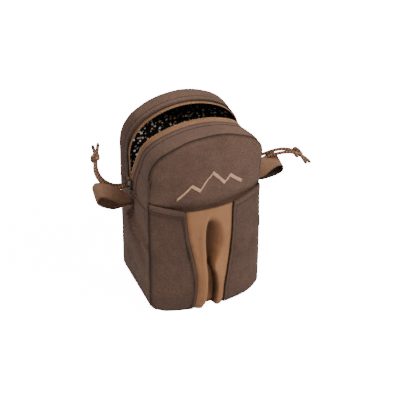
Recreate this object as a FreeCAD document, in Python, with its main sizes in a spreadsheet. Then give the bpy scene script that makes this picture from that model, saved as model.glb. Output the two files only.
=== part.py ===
"""Soft optics pouch worn on a chest harness, as an assembly of sewn pieces.

Frame: +X to the wearer's left as the pouch is faced, -Y the front face, +Z up.
The origin is the middle of the base, on the surface that the pouch stands on.
"""
import FreeCAD, Part
import Sketcher
import math
import os

from FreeCAD import Placement, Rotation, Vector

DOC = FreeCAD.newDocument("optics_harness_pouch")
SHEET_LABEL = "Dims"
SUBPARTS = []

# Driving dimensions, in millimetres and degrees.
DIMENSIONS = {
    "width": 130.0,
    "depth": 90.0,
    "back_height": 220.0,
    "front_height": 223.0,
    "fold_height": 140.0,
    "fold_gap": 0.5,
    "zip_end_height": 132.0,
    "zip_line": 9.0,
    "zip_gap": 0.7,
    "arch_corner_radius": 38.0,
    "base_corner_radius": 12.0,
    "fabric": 1.2,
    "foam": 2.4,
    "lining": 0.8,
    "stiffener": 1.4,
    "coil_width": 1.4,
    "coil_thickness": 1.6,
    "tape_visible": 6.0,
    "tape_width": 9.0,
    "closed_lean": 6.0,
    "open_lean": 9.0,
    "flap_bulge": 14.0,
    "flap_top_bulge": 1.0,
    "pocket_bulge": 16.0,
    "pocket_standoff": 1.4,
    "insert_top_half": 27.0,
    "insert_low_half": 18.0,
    "pocket_top": 138.5,
    "pocket_top_middle": 134.0,
    "hem_width": 9.0,
    "hem_thickness": 1.0,
    "loop_width": 19.0,
    "loop_reach": 38.0,
    "loop_gap": 5.2,
    "loop_line": 1.0,
    "loop_height": 115.0,
    "thread": 0.6,
    "webbing": 1.4,
    "webbing_width": 25.0,
    "channel_gap": 2.6,
    "row_half_length": 46.0,
    "row_tack": 8.0,
    "upper_row_height": 128.0,
    "lower_row_height": 62.0,
    "slider_width": 9.2,
    "slider_length": 13.0,
    "plate": 1.4,
    "slider_height": 139.5,
    "slider_clearance": 0.3,
    "divider_width": 1.0,
    "bridge_width": 3.2,
    "bridge_reach": 4.8,
    "bridge_post": 1.2,
    "bridge_setback": 1.5,
    "loft_gap": 0.1,
    "cord_diameter": 3.3,
}


class Size:
    """A length or angle with the sheet expression that drives it."""

    def __init__(self, value, text):
        self.value = float(value)
        self.text = text

    @staticmethod
    def of(other):
        if isinstance(other, Size):
            return other
        return Size(other, repr(float(other)))

    def __add__(self, other):
        other = Size.of(other)
        return Size(self.value + other.value, f"({self.text} + {other.text})")

    def __sub__(self, other):
        other = Size.of(other)
        return Size(self.value - other.value, f"({self.text} - {other.text})")

    def __mul__(self, other):
        other = Size.of(other)
        return Size(self.value * other.value, f"({self.text} * {other.text})")

    def __truediv__(self, other):
        other = Size.of(other)
        return Size(self.value / other.value, f"({self.text} / {other.text})")

    def __radd__(self, other):
        return Size.of(other) + self

    def __rsub__(self, other):
        return Size.of(other) - self

    def __neg__(self):
        return Size(-self.value, f"(0 - {self.text})")

    def sin(self):
        return Size(math.sin(math.radians(self.value)), f"sin({self.text} * 1 deg)")

    def cos(self):
        return Size(math.cos(math.radians(self.value)), f"cos({self.text} * 1 deg)")


class Sheet:
    """The spreadsheet of driving dimensions, read back by name."""

    def __init__(self, dimensions):
        self.sheet = DOC.addObject("Spreadsheet::Sheet", SHEET_LABEL)
        self.sheet.Label = SHEET_LABEL
        for row, (alias, value) in enumerate(dimensions.items(), start=1):
            self.sheet.set(f"A{row}", alias.replace("_", " "))
            self.sheet.set(f"B{row}", str(value))
            self.sheet.setAlias(f"B{row}", alias)
        DOC.recompute()

    def __getattr__(self, alias):
        return Size(DIMENSIONS[alias], f"{SHEET_LABEL}.{alias}")


S = Sheet(DIMENSIONS)
HALF_WIDTH = S.width / 2
HALF_DEPTH = S.depth / 2
INNER_HALF_DEPTH = HALF_DEPTH - S.fabric
WALL = S.fabric + S.foam + S.lining
ZERO = Size(0, "0")

# The crown arc spans 60 degrees, so its radius follows from the corner arcs.
CORNER_OFFSET = HALF_WIDTH - S.arch_corner_radius
CROWN_RADIUS = S.arch_corner_radius + CORNER_OFFSET * 2
CROWN_DROP = CORNER_OFFSET * math.sqrt(3.0)
CORNER_ANGLE = math.radians(60.0)


# ---------------------------------------------------------------- sketch helpers
def new_body(name):
    """A new part-design body, registered as a sub-part."""
    body = DOC.addObject("PartDesign::Body", name)
    body.Label = name
    SUBPARTS.append(body)
    return body


def new_sketch(body, role, offset):
    """A sketch on one of the body's origin planes, offset along its normal."""
    sketch = body.newObject("Sketcher::SketchObject", f"{body.Name}_sketch")
    planes = [f for f in body.Origin.OriginFeatures if f.Role == role]
    sketch.AttachmentSupport = [(planes[0], "")]
    sketch.MapMode = "FlatFace"
    sketch.AttachmentOffset = Placement(Vector(0, 0, offset.value), Rotation())
    sketch.setExpression("AttachmentOffset.Base.z", offset.text)
    return sketch


def front_sketch(body, y_start):
    """A sketch in an XZ plane at y_start; pads from it run towards +Y."""
    return new_sketch(body, "XZ_Plane", -y_start)


def side_sketch(body, x_start):
    """A sketch in a YZ plane at x_start; pads from it run towards +X."""
    return new_sketch(body, "YZ_Plane", x_start)


def plan_sketch(body, z_start):
    """A sketch in an XY plane at z_start; pads from it run towards +Z."""
    return new_sketch(body, "XY_Plane", z_start)


def drive(sketch, kind, arguments, size):
    """Add a dimension and bind it to the sheet."""
    index = sketch.addConstraint(Sketcher.Constraint(kind, *arguments, size.value))
    name = f"d{index}"
    sketch.renameConstraint(index, name)
    sketch.setExpression(f"Constraints.{name}", size.text)


def place(sketch, element, point, size, horizontal):
    """Fix one coordinate of a sketch point, measured from the origin."""
    kind = "DistanceX" if horizontal else "DistanceY"
    if abs(size.value) < 1e-9:
        axis = -2 if horizontal else -1
        sketch.addConstraint(Sketcher.Constraint("PointOnObject", element, point, axis))
    elif size.value > 0:
        drive(sketch, kind, (-1, 1, element, point), size)
    else:
        drive(sketch, kind, (element, point, -1, 1), -size)


def line(sketch, start, end):
    return sketch.addGeometry(Part.LineSegment(Vector(*start, 0), Vector(*end, 0)))


def arc(sketch, centre, radius, start, end):
    circle = Part.Circle(Vector(*centre, 0), Vector(0, 0, 1), radius)
    return sketch.addGeometry(Part.ArcOfCircle(circle, start, end))


def join(sketch, first, second, smooth=True):
    """Join the end of one element to the start of the next."""
    kind = "Tangent" if smooth else "Coincident"
    sketch.addConstraint(Sketcher.Constraint(kind, first, 2, second, 1))


def polygon(sketch, corners):
    """A closed polygon whose every corner is driven by two sizes."""
    points = [(x.value, y.value) for x, y in map(lambda c: map(Size.of, c), corners)]
    sides = [line(sketch, p, q) for p, q in zip(points, points[1:] + points[:1])]
    for first, second in zip(sides, sides[1:] + sides[:1]):
        join(sketch, first, second, smooth=False)
    for side, (x, y) in zip(sides, corners):
        place(sketch, side, 1, Size.of(x), True)
        place(sketch, side, 1, Size.of(y), False)


def arch(sketch, height, inset, low, low_radius=None):
    """The pouch outline: straight legs, a three-centre arch, and an optional round base.

    Args:
        height: the full height of the uninset outline.
        inset: how far inside the outline this one runs.
        low: the height of the bottom edge.
        low_radius: radius of the bottom corners, or None for square ones.
    """
    half = HALF_WIDTH - inset
    corner = S.arch_corner_radius - inset
    crown = CROWN_RADIUS - inset
    spring = height - CROWN_RADIUS + CROWN_DROP
    w, r, z0 = half.value, corner.value, low.value
    zs = spring.value
    cx = CORNER_OFFSET.value
    rise = low_radius.value if low_radius else 0.0
    bottom = line(sketch, (-w + rise, z0), (w - rise, z0))
    right = line(sketch, (w, z0 + rise), (w, zs))
    corner_right = arc(sketch, (cx, zs), r, 0.0, CORNER_ANGLE)
    top = arc(sketch, (0, zs - CROWN_DROP.value), crown.value, CORNER_ANGLE, math.pi - CORNER_ANGLE)
    corner_left = arc(sketch, (-cx, zs), r, math.pi - CORNER_ANGLE, math.pi)
    left = line(sketch, (-w, zs), (-w, z0 + rise))
    if low_radius:
        low_right = arc(sketch, (w - rise, z0 + rise), rise, -math.pi / 2, 0.0)
        low_left = arc(sketch, (-w + rise, z0 + rise), rise, math.pi, 1.5 * math.pi)
        loop = [bottom, low_right, right, corner_right, top, corner_left, left, low_left]
        for first, second in zip(loop, loop[1:] + loop[:1]):
            join(sketch, first, second)
        for element in (low_right, low_left):
            drive(sketch, "Radius", (element,), low_radius)
    else:
        join(sketch, bottom, right, smooth=False)
        for first, second in ((right, corner_right), (corner_right, top), (top, corner_left)):
            join(sketch, first, second)
        join(sketch, corner_left, left)
        join(sketch, left, bottom, smooth=False)
    sketch.addConstraint(Sketcher.Constraint("Horizontal", bottom))
    sketch.addConstraint(Sketcher.Constraint("Vertical", right))
    sketch.addConstraint(Sketcher.Constraint("Vertical", left))
    for element in (corner_right, corner_left):
        drive(sketch, "Radius", (element,), corner)
        place(sketch, element, 3, spring, False)
    drive(sketch, "Radius", (top,), crown)
    place(sketch, bottom, 1, low, False)
    place(sketch, right, 1, half, True)
    place(sketch, left, 1, -half, True)


def tub(sketch, inset, top):
    """The section of the base: flat, with a quarter round at each side."""
    radius = S.base_corner_radius - inset
    centre = HALF_WIDTH - S.base_corner_radius
    r, cx, z0, z1 = radius.value, centre.value, inset.value, top.value
    bottom = line(sketch, (-cx, z0), (cx, z0))
    right = arc(sketch, (cx, z0 + r), r, -math.pi / 2, 0.0)
    lid = line(sketch, (cx + r, z1), (-cx - r, z1))
    left = arc(sketch, (-cx, z0 + r), r, math.pi, 1.5 * math.pi)
    join(sketch, bottom, right)
    join(sketch, left, bottom)
    join(sketch, right, lid, smooth=False)
    join(sketch, lid, left, smooth=False)
    sketch.addConstraint(Sketcher.Constraint("Horizontal", bottom))
    sketch.addConstraint(Sketcher.Constraint("Horizontal", lid))
    for element in (right, left):
        drive(sketch, "Radius", (element,), radius)
    place(sketch, bottom, 1, inset, False)
    place(sketch, lid, 1, top, False)
    place(sketch, right, 3, centre, True)
    place(sketch, left, 3, -centre, True)


def bulge_arc(sagitta, standoff):
    """Radius and centre of the bulged front, seen from above."""
    radius = (HALF_WIDTH * HALF_WIDTH + sagitta * sagitta) / (sagitta * 2)
    return radius, radius - HALF_DEPTH - standoff - sagitta


def bulge_band(sketch, outset, thickness, x_low, x_high, sagitta, standoff):
    """A band of the bulged front, seen from above, between two x positions."""
    radius, centre = bulge_arc(sagitta, standoff)
    outer_radius = radius + outset
    inner_radius = radius + outset - thickness
    yc = centre.value

    def angle(x, r):
        return 1.5 * math.pi + math.asin(x.value / r.value)

    def foot(x, r):
        return (x.value, yc - math.sqrt(r.value ** 2 - x.value ** 2))

    outer = arc(sketch, (0, yc), outer_radius.value, angle(x_low, outer_radius), angle(x_high, outer_radius))
    high = line(sketch, foot(x_high, outer_radius), foot(x_high, inner_radius))
    inner = arc(sketch, (0, yc), inner_radius.value, angle(x_low, inner_radius), angle(x_high, inner_radius))
    low = line(sketch, foot(x_low, inner_radius), foot(x_low, outer_radius))
    for pair in ((outer, 2, high, 1), (high, 2, inner, 2), (inner, 1, low, 1), (low, 2, outer, 1)):
        sketch.addConstraint(Sketcher.Constraint("Coincident", *pair))
    sketch.addConstraint(Sketcher.Constraint("Coincident", outer, 3, inner, 3))
    place(sketch, outer, 3, ZERO, True)
    place(sketch, outer, 3, centre, False)
    drive(sketch, "Radius", (outer,), outer_radius)
    drive(sketch, "Radius", (inner,), inner_radius)
    for element in (outer, inner):
        place(sketch, element, 1, x_low, True)
        place(sketch, element, 2, x_high, True)


def pad(body, sketch, length):
    """Pad a sketch along the positive axis of its plane."""
    feature = body.newObject("PartDesign::Pad", f"{body.Name}_pad")
    feature.Profile = sketch
    feature.Reversed = sketch.AttachmentSupport[0][0].Role == "XZ_Plane"
    feature.setExpression("Length", length.text)
    DOC.recompute()


def cut(body, sketch, length):
    """Pocket a sketch along the positive axis of its plane, checking that it cuts."""
    before = body.Shape.Volume
    feature = body.newObject("PartDesign::Pocket", f"{body.Name}_pocket")
    feature.Profile = sketch
    feature.Reversed = sketch.AttachmentSupport[0][0].Role != "XZ_Plane"
    feature.setExpression("Length", length.text)
    DOC.recompute()
    if body.Shape.Volume > before - 0.01:
        raise RuntimeError(f"{body.Name}: a pocket removed nothing")


# ---------------------------------------------------------------- flap frame
def lean(body, degrees):
    """Turn a flap piece forward about the fold line on the front face."""
    pivot = Vector(0, -HALF_DEPTH.value, S.fold_height.value)
    turn = Rotation(Vector(1, 0, 0), degrees)
    body.Placement = Placement(pivot - turn.multVec(pivot), turn)


def closed_point(behind, above):
    """Where a point of the closed pouch lies on the upright flap.

    Args:
        behind: distance behind the fold line.
        above: distance above the fold line.
    """
    sine, cosine = S.closed_lean.sin(), S.closed_lean.cos()
    y = behind * cosine - above * sine - HALF_DEPTH
    z = behind * sine + above * cosine + S.fold_height
    return (y, z)


def zip_edge_cut(body, setback, keep_front):
    """Trim a flap band along a line parallel to the zip, setback in front of it."""
    reach = HALF_DEPTH + S.zip_line - setback
    top = S.front_height - S.fold_height + 20
    low = Size.of(-30)
    far = Size.of(60 if keep_front else -60)
    sketch = side_sketch(body, -S.width)
    polygon(sketch, [
        closed_point(reach, low),
        closed_point(reach + far, low),
        closed_point(reach + far, top),
        closed_point(reach, top),
    ])
    cut(body, sketch, S.width * 2)


def fold_cut(body):
    """Trim a flap band along the sloping line from the fold to the end of the zip."""
    reach = HALF_DEPTH + S.zip_line
    drop = S.fold_height - S.zip_end_height
    slope = drop / reach
    sketch = side_sketch(body, -S.width)
    polygon(sketch, [
        closed_point(Size.of(-5), slope * 5 + S.fold_gap),
        closed_point(Size.of(-5), Size.of(-40)),
        closed_point(reach + 20, Size.of(-40)),
        closed_point(reach + 20, S.fold_gap - slope * (reach + 20)),
    ])
    cut(body, sketch, S.width * 2)


# ---------------------------------------------------------------- panels and bands
def flat_panel(name, height, inset, y_start, thickness):
    """A whole D-shaped layer, down to the base."""
    body = new_body(name)
    sketch = front_sketch(body, y_start)
    arch(sketch, height, inset, inset, S.base_corner_radius - inset + 0.01)
    pad(body, sketch, thickness)
    return body


def lower_panel(name, inset, y_start, thickness):
    """A front layer below the fold, with rounded lower corners."""
    body = new_body(name)
    sketch = front_sketch(body, y_start)
    radius = S.base_corner_radius - inset + 0.01
    half = HALF_WIDTH - inset
    low, top = inset, S.fold_height - S.fold_gap
    w, r, z0, z1 = half.value, radius.value, low.value, top.value
    bottom = line(sketch, (-w + r, z0), (w - r, z0))
    low_right = arc(sketch, (w - r, z0 + r), r, -math.pi / 2, 0.0)
    right = line(sketch, (w, z0 + r), (w, z1))
    lid = line(sketch, (w, z1), (-w, z1))
    left = line(sketch, (-w, z1), (-w, z0 + r))
    low_left = arc(sketch, (-w + r, z0 + r), r, math.pi, 1.5 * math.pi)
    for first, second in ((bottom, low_right), (low_right, right), (left, low_left), (low_left, bottom)):
        join(sketch, first, second)
    join(sketch, right, lid, smooth=False)
    join(sketch, lid, left, smooth=False)
    for element in (bottom, lid):
        sketch.addConstraint(Sketcher.Constraint("Horizontal", element))
    for element in (right, left):
        sketch.addConstraint(Sketcher.Constraint("Vertical", element))
    for element in (low_right, low_left):
        drive(sketch, "Radius", (element,), radius)
    place(sketch, bottom, 1, low, False)
    place(sketch, lid, 1, top, False)
    place(sketch, right, 1, half, True)
    place(sketch, left, 1, -half, True)
    pad(body, sketch, thickness)
    return body


def flap_shell(name, inset, depth_in, thickness):
    """A layer of the flap's face: bulged at the fold, nearly flat at the crown."""
    body = new_body(name)
    half = HALF_WIDTH - inset
    low = plan_sketch(body, S.fold_height + S.fold_gap)
    bulge_band(low, -depth_in, thickness, -half, half, S.flap_bulge, ZERO)
    high = plan_sketch(body, S.front_height + 4)
    bulge_band(high, -depth_in, thickness, -half, half, S.flap_top_bulge, ZERO)
    loft = body.newObject("PartDesign::AdditiveLoft", f"{name}_loft")
    loft.Profile = low
    loft.Sections = [high]
    loft.Ruled = True
    DOC.recompute()
    return body


def frame_around(sketch):
    """A rectangle well outside the flap, so that a cut keeps what is inside the other loop."""
    low, high = S.fold_height - 40, S.front_height + 20
    polygon(sketch, [(-S.width, low), (S.width, low), (S.width, high), (-S.width, high)])


def flap_panel(name, inset, depth_in, thickness):
    """A whole layer of the flap's face, trimmed to the arch."""
    body = flap_shell(name, inset, depth_in, thickness)
    outline = front_sketch(body, -S.depth)
    arch(outline, S.front_height, inset, S.fold_height - 10)
    frame_around(outline)
    cut(body, outline, S.depth)
    lean(body, S.open_lean.value)
    return body


def rear_band(name, inset, thickness, y_start, y_end):
    """A band of the rear zip strip, over the arch from one zip end to the other."""
    body = new_body(name)
    outer = front_sketch(body, y_start)
    arch(outer, S.back_height, inset, S.zip_end_height)
    pad(body, outer, y_end - y_start)
    inner = front_sketch(body, y_start)
    arch(inner, S.back_height, inset + thickness, S.zip_end_height - 5)
    cut(body, inner, y_end - y_start)
    return body


def flap_band(name, inset, thickness, setback, band_width=None):
    """A band of the front zip strip; band_width limits it to a strip beside the zip."""
    body = new_body(name)
    depth = HALF_DEPTH + S.zip_line + 5
    start = -INNER_HALF_DEPTH
    outer = front_sketch(body, start)
    arch(outer, S.front_height, inset, S.zip_end_height - 10)
    pad(body, outer, depth)
    inner = front_sketch(body, start)
    arch(inner, S.front_height, inset + thickness, S.zip_end_height - 15)
    cut(body, inner, depth)
    zip_edge_cut(body, setback, keep_front=True)
    if band_width is not None:
        zip_edge_cut(body, setback + band_width, keep_front=False)
    fold_cut(body)
    lean(body, S.open_lean.value)
    return body


def side_layer(name, side, inset, thickness):
    """One layer of a side wall, with its sloping upper edge."""
    body = new_body(name)
    outer_face = HALF_WIDTH - inset
    x_start = outer_face - thickness if side > 0 else -outer_face
    reach = HALF_DEPTH + S.zip_line
    slope = (S.fold_height - S.zip_end_height) / reach
    top_front = S.fold_height - S.fold_gap - slope * S.fabric
    top_back = S.zip_end_height - S.fold_gap
    sketch = side_sketch(body, x_start)
    polygon(sketch, [
        (-INNER_HALF_DEPTH, S.base_corner_radius),
        (INNER_HALF_DEPTH, S.base_corner_radius),
        (INNER_HALF_DEPTH, top_back),
        (S.zip_line, top_back),
        (-INNER_HALF_DEPTH, top_front),
    ])
    pad(body, sketch, thickness)
    return body


def base_layer(name, inset, thickness, half_length):
    """One layer of the base, turned up into both side walls."""
    body = new_body(name)
    outer = front_sketch(body, -half_length)
    tub(outer, inset, S.base_corner_radius)
    pad(body, outer, half_length * 2)
    inner = front_sketch(body, -half_length)
    tub(inner, inset + thickness, S.base_corner_radius)
    cut(body, inner, half_length * 2)
    return body


def box(name, lows, sizes):
    """A plain block whose corner and sides follow the sheet."""
    body = new_body(name)
    low = [Size.of(v) for v in lows]
    span = [Size.of(v) for v in sizes]
    sketch = plan_sketch(body, low[2])
    polygon(sketch, [
        (low[0], low[1]),
        (low[0] + span[0], low[1]),
        (low[0] + span[0], low[1] + span[1]),
        (low[0], low[1] + span[1]),
    ])
    pad(body, sketch, span[2])
    return body


# ---------------------------------------------------------------- shell
def build_shell():
    """Back, base, side walls and the lower front."""
    flat_panel("back_panel", S.back_height, ZERO, INNER_HALF_DEPTH, S.fabric)
    flat_panel("back_foam", S.back_height, WALL, INNER_HALF_DEPTH - S.foam, S.foam)
    flat_panel("back_lining", S.back_height, WALL, INNER_HALF_DEPTH - S.foam - S.lining, S.lining)
    lower_panel("front_lower_panel", ZERO, -HALF_DEPTH, S.fabric)
    lower_panel("front_lower_foam", WALL, -INNER_HALF_DEPTH, S.foam)
    lower_panel("front_lower_lining", WALL, S.foam - INNER_HALF_DEPTH, S.lining)
    for side, word in ((-1, "left"), (1, "right")):
        side_layer(f"{word}_side_panel", side, ZERO, S.fabric)
        side_layer(f"{word}_side_foam", side, S.fabric, S.foam)
        side_layer(f"{word}_side_lining", side, S.fabric + S.foam, S.lining)
    base_layer("base_panel", ZERO, S.fabric, INNER_HALF_DEPTH)
    base_layer("base_foam", S.fabric, S.foam, INNER_HALF_DEPTH)
    clear = INNER_HALF_DEPTH - S.foam - S.lining - 0.2
    board_half = HALF_WIDTH - S.base_corner_radius
    board_low = S.fabric + S.foam
    box("base_stiffener", (-board_half, -clear, board_low), (board_half * 2, clear * 2, S.stiffener))
    lining_low = board_low + S.stiffener
    box("base_lining", (-board_half, -clear, lining_low), (board_half * 2, clear * 2, S.lining))


def build_rear_strip():
    """The rear half of the zipped gusset with its half of the zip."""
    strip_edge = S.zip_line + S.tape_visible
    rear_band("rear_zip_strip", ZERO, S.fabric, strip_edge, INNER_HALF_DEPTH)
    tape_edge = S.zip_line + S.zip_gap + S.coil_width
    tape_end = S.zip_line + S.tape_width
    rear_band("rear_zipper_tape", S.fabric, S.lining, tape_edge, tape_end)
    rear_band("rear_zip_strip_lining", S.fabric, S.lining, tape_end, INNER_HALF_DEPTH)
    coil_inset = S.fabric + S.lining / 2 - S.coil_thickness / 2
    rear_band("rear_zipper_coil", coil_inset, S.coil_thickness, S.zip_line + S.zip_gap, tape_edge)


# ---------------------------------------------------------------- flap
def build_flap():
    """The upper front and the front half of the zipped gusset, which fold open."""
    flap_panel("front_upper_panel", ZERO, ZERO, S.fabric)
    strip_wall = S.fabric + S.lining
    foam_depth = S.fabric + S.loft_gap
    flap_panel("front_upper_foam", strip_wall, foam_depth, S.foam)
    flap_panel("front_upper_lining", strip_wall, foam_depth + S.foam + S.loft_gap, S.lining)
    flap_band("front_zip_strip", ZERO, S.fabric, S.tape_visible)
    coil_setback = S.zip_gap * 2
    tape_setback = coil_setback + S.coil_width
    flap_band("front_zip_strip_lining", S.fabric, S.lining, S.tape_width)
    flap_band("front_zipper_tape", S.fabric, S.lining, tape_setback, S.tape_width - tape_setback)
    coil_inset = S.fabric + S.lining / 2 - S.coil_thickness / 2
    flap_band("front_zipper_coil", coil_inset, S.coil_thickness, coil_setback, S.coil_width)


def build_motif():
    """A raised thread motif, a plain ridge line of three peaks, on the flap's face."""
    body = flap_shell("embroidered_motif", ZERO, -S.thread, S.thread)
    stroke = 3.2
    ridge = [(-36, 151), (-20, 166), (-11, 159), (4, 178), (17, 163), (24, 170), (38, 157)]
    upper = [(x, z + stroke) for x, z in ridge]
    outline = front_sketch(body, -S.depth)
    polygon(outline, [(Size.of(x), Size.of(z)) for x, z in ridge + upper[::-1]])
    frame_around(outline)
    cut(body, outline, S.depth)
    lean(body, S.open_lean.value)


# ---------------------------------------------------------------- pocket
def slanted_edge(body, side, near_centre):
    """Trim a pocket piece along the slanting edge of the stretch insert."""
    top = S.pocket_top + 5
    low = Size.of(-5)
    tilt = (S.insert_top_half - S.insert_low_half) / S.pocket_top
    edge_top = S.insert_top_half + tilt * 5
    edge_low = S.insert_low_half - tilt * 5
    gap = Size.of(0.15 if near_centre else -0.15)
    far = Size.of(0) if near_centre else S.width
    sketch = front_sketch(body, -S.depth)
    polygon(sketch, [
        ((edge_low + gap) * side, low),
        (far * side, low),
        (far * side, top),
        ((edge_top + gap) * side, top),
    ])
    cut(body, sketch, S.depth)


def hem_line(side, drop):
    """The two ends of the hem's sloping line, lowered by drop, as (x, z) on one side."""
    slope = (S.pocket_top - S.pocket_top_middle) / (HALF_WIDTH - S.insert_top_half)
    beyond = 5
    inner = S.insert_top_half / 3
    height_inner = S.pocket_top_middle - slope * (S.insert_top_half - inner) - drop
    height_outer = S.pocket_top + slope * beyond - drop
    return (inner * side, height_inner), ((HALF_WIDTH + beyond) * side, height_outer)


def trim_above(body, side, drop):
    """Remove what is above the hem line, lowered by drop."""
    inner, outer = hem_line(side, drop)
    sketch = front_sketch(body, -S.depth)
    polygon(sketch, [inner, outer, (outer[0], S.back_height), (inner[0], S.back_height)])
    cut(body, sketch, S.depth)


def trim_below(body, side, drop):
    """Remove what is below the hem line, lowered by drop."""
    inner, outer = hem_line(side, drop)
    low = Size.of(-5)
    sketch = front_sketch(body, -S.depth)
    polygon(sketch, [inner, outer, (outer[0], low), (inner[0], low)])
    cut(body, sketch, S.depth)


def chamfer_corner(body, side):
    """Take off the lower outer corner of a pocket panel."""
    reach = S.base_corner_radius * 0.6
    sketch = front_sketch(body, -S.depth)
    polygon(sketch, [
        ((HALF_WIDTH + 1) * side, reach + 1),
        ((HALF_WIDTH + 1) * side, Size.of(-1)),
        ((HALF_WIDTH - reach - 1) * side, Size.of(-1)),
    ])
    cut(body, sketch, S.depth)


def side_limits(side, near, far):
    """The low and high x of a piece on one side of the middle."""
    return (near, far) if side > 0 else (-far, -near)


def build_pocket():
    """The bulging front pocket: two panels, their hems, the insert and the floor."""
    edge = HALF_WIDTH - 0.2
    for side, word in ((-1, "left"), (1, "right")):
        low, high = side_limits(side, S.insert_low_half - 2, edge)
        panel = new_body(f"pocket_panel_{word}")
        sketch = plan_sketch(panel, ZERO)
        bulge_band(sketch, ZERO, S.fabric, low, high, S.pocket_bulge, S.pocket_standoff)
        pad(panel, sketch, S.pocket_top + 1)
        slanted_edge(panel, side, near_centre=True)
        trim_above(panel, side, ZERO)
        chamfer_corner(panel, side)
        low, high = side_limits(side, S.insert_low_half, edge)
        hem = new_body(f"pocket_hem_{word}")
        sketch = plan_sketch(hem, S.pocket_top_middle - S.hem_width - 5)
        bulge_band(sketch, S.hem_thickness, S.hem_thickness, low, high, S.pocket_bulge, S.pocket_standoff)
        pad(hem, sketch, S.hem_width + 15)
        slanted_edge(hem, side, near_centre=True)
        trim_above(hem, side, ZERO)
        trim_below(hem, side, S.hem_width)
    insert = new_body("pocket_stretch_insert")
    sketch = plan_sketch(insert, ZERO)
    half = S.insert_top_half + 0.5
    bulge_band(sketch, ZERO, S.fabric, -half, half, S.pocket_bulge, S.pocket_standoff)
    pad(insert, sketch, S.pocket_top_middle)
    for side in (-1, 1):
        slanted_edge(insert, side, near_centre=False)
    build_pocket_floor()


def build_pocket_floor():
    """The floor that closes the pocket against the base."""
    body = new_body("pocket_floor")
    sketch = plan_sketch(body, ZERO)
    radius, centre = bulge_arc(S.pocket_bulge, S.pocket_standoff)
    inner = radius - S.fabric - 0.1
    half = HALF_WIDTH - S.base_corner_radius
    chord = -HALF_DEPTH - 0.1
    y_edge = centre.value - math.sqrt(inner.value ** 2 - half.value ** 2)
    reach = math.asin(half.value / inner.value)
    front = arc(sketch, (0, centre.value), inner.value, 1.5 * math.pi - reach, 1.5 * math.pi + reach)
    right = line(sketch, (half.value, y_edge), (half.value, chord.value))
    back = line(sketch, (half.value, chord.value), (-half.value, chord.value))
    left = line(sketch, (-half.value, chord.value), (-half.value, y_edge))
    loop = [front, right, back, left]
    for first, second in zip(loop, loop[1:] + loop[:1]):
        join(sketch, first, second, smooth=False)
    drive(sketch, "Radius", (front,), inner)
    place(sketch, front, 3, ZERO, True)
    place(sketch, front, 3, centre, False)
    place(sketch, front, 1, -half, True)
    place(sketch, front, 2, half, True)
    place(sketch, back, 1, half, True)
    place(sketch, back, 1, chord, False)
    place(sketch, back, 2, -half, True)
    place(sketch, back, 2, chord, False)
    pad(body, sketch, S.fabric)


# ---------------------------------------------------------------- webbing
def build_side_loop(word, side, rise_degrees):
    """A folded webbing loop sewn into a side seam, standing out to one side."""
    body = new_body(f"side_loop_{word}")
    half = S.loop_gap / 2 + S.webbing
    inner = S.loop_gap / 2
    reach, root = S.loop_reach, ZERO
    sketch = plan_sketch(body, -S.loop_width / 2)
    r_out, r_in = half.value, inner.value
    centre = (reach - half).value
    lower_out = line(sketch, (root.value, -r_out), (centre, -r_out))
    nose_out = arc(sketch, (centre, 0), r_out, -math.pi / 2, math.pi / 2)
    upper_out = line(sketch, (centre, r_out), (root.value, r_out))
    end_upper = line(sketch, (root.value, r_out), (root.value, r_in))
    upper_in = line(sketch, (root.value, r_in), (centre, r_in))
    nose_in = arc(sketch, (centre, 0), r_in, -math.pi / 2, math.pi / 2)
    lower_in = line(sketch, (centre, -r_in), (root.value, -r_in))
    end_lower = line(sketch, (root.value, -r_in), (root.value, -r_out))
    for pair in ((lower_out, 2, nose_out, 1), (nose_out, 2, upper_out, 1), (upper_in, 2, nose_in, 2),
                 (nose_in, 1, lower_in, 1)):
        sketch.addConstraint(Sketcher.Constraint("Tangent", *pair))
    for pair in ((upper_out, 2, end_upper, 1), (end_upper, 2, upper_in, 1), (lower_in, 2, end_lower, 1),
                 (end_lower, 2, lower_out, 1)):
        sketch.addConstraint(Sketcher.Constraint("Coincident", *pair))
    sketch.addConstraint(Sketcher.Constraint("Coincident", nose_out, 3, nose_in, 3))
    for element in (lower_out, upper_out, upper_in, lower_in):
        sketch.addConstraint(Sketcher.Constraint("Horizontal", element))
    drive(sketch, "Radius", (nose_out,), half)
    drive(sketch, "Radius", (nose_in,), inner)
    place(sketch, nose_out, 3, reach - half, True)
    place(sketch, nose_out, 3, ZERO, False)
    for element, point in ((lower_out, 1), (upper_out, 2), (upper_in, 1), (lower_in, 2)):
        place(sketch, element, point, root, True)
    pad(body, sketch, S.loop_width)
    rise = Rotation(Vector(0, 1, 0), -rise_degrees)
    outward = Rotation(Vector(0, 0, 1), 0 if side > 0 else 180)
    anchor = Vector(side * (HALF_WIDTH.value + 3.0), S.loop_line.value, S.loop_height.value)
    body.Placement = Placement(anchor, outward * rise)


def build_loop_root(word, side):
    """The sewn root of a side loop, a folded tab flat on the side seam."""
    thickness = Size.of(3.4)
    x_low = HALF_WIDTH if side > 0 else -HALF_WIDTH - thickness
    half = S.loop_width / 2
    lows = (x_low, S.loop_line - 4, S.loop_height - half)
    box(f"side_loop_root_{word}", lows, (thickness, 8, S.loop_width))


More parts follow.
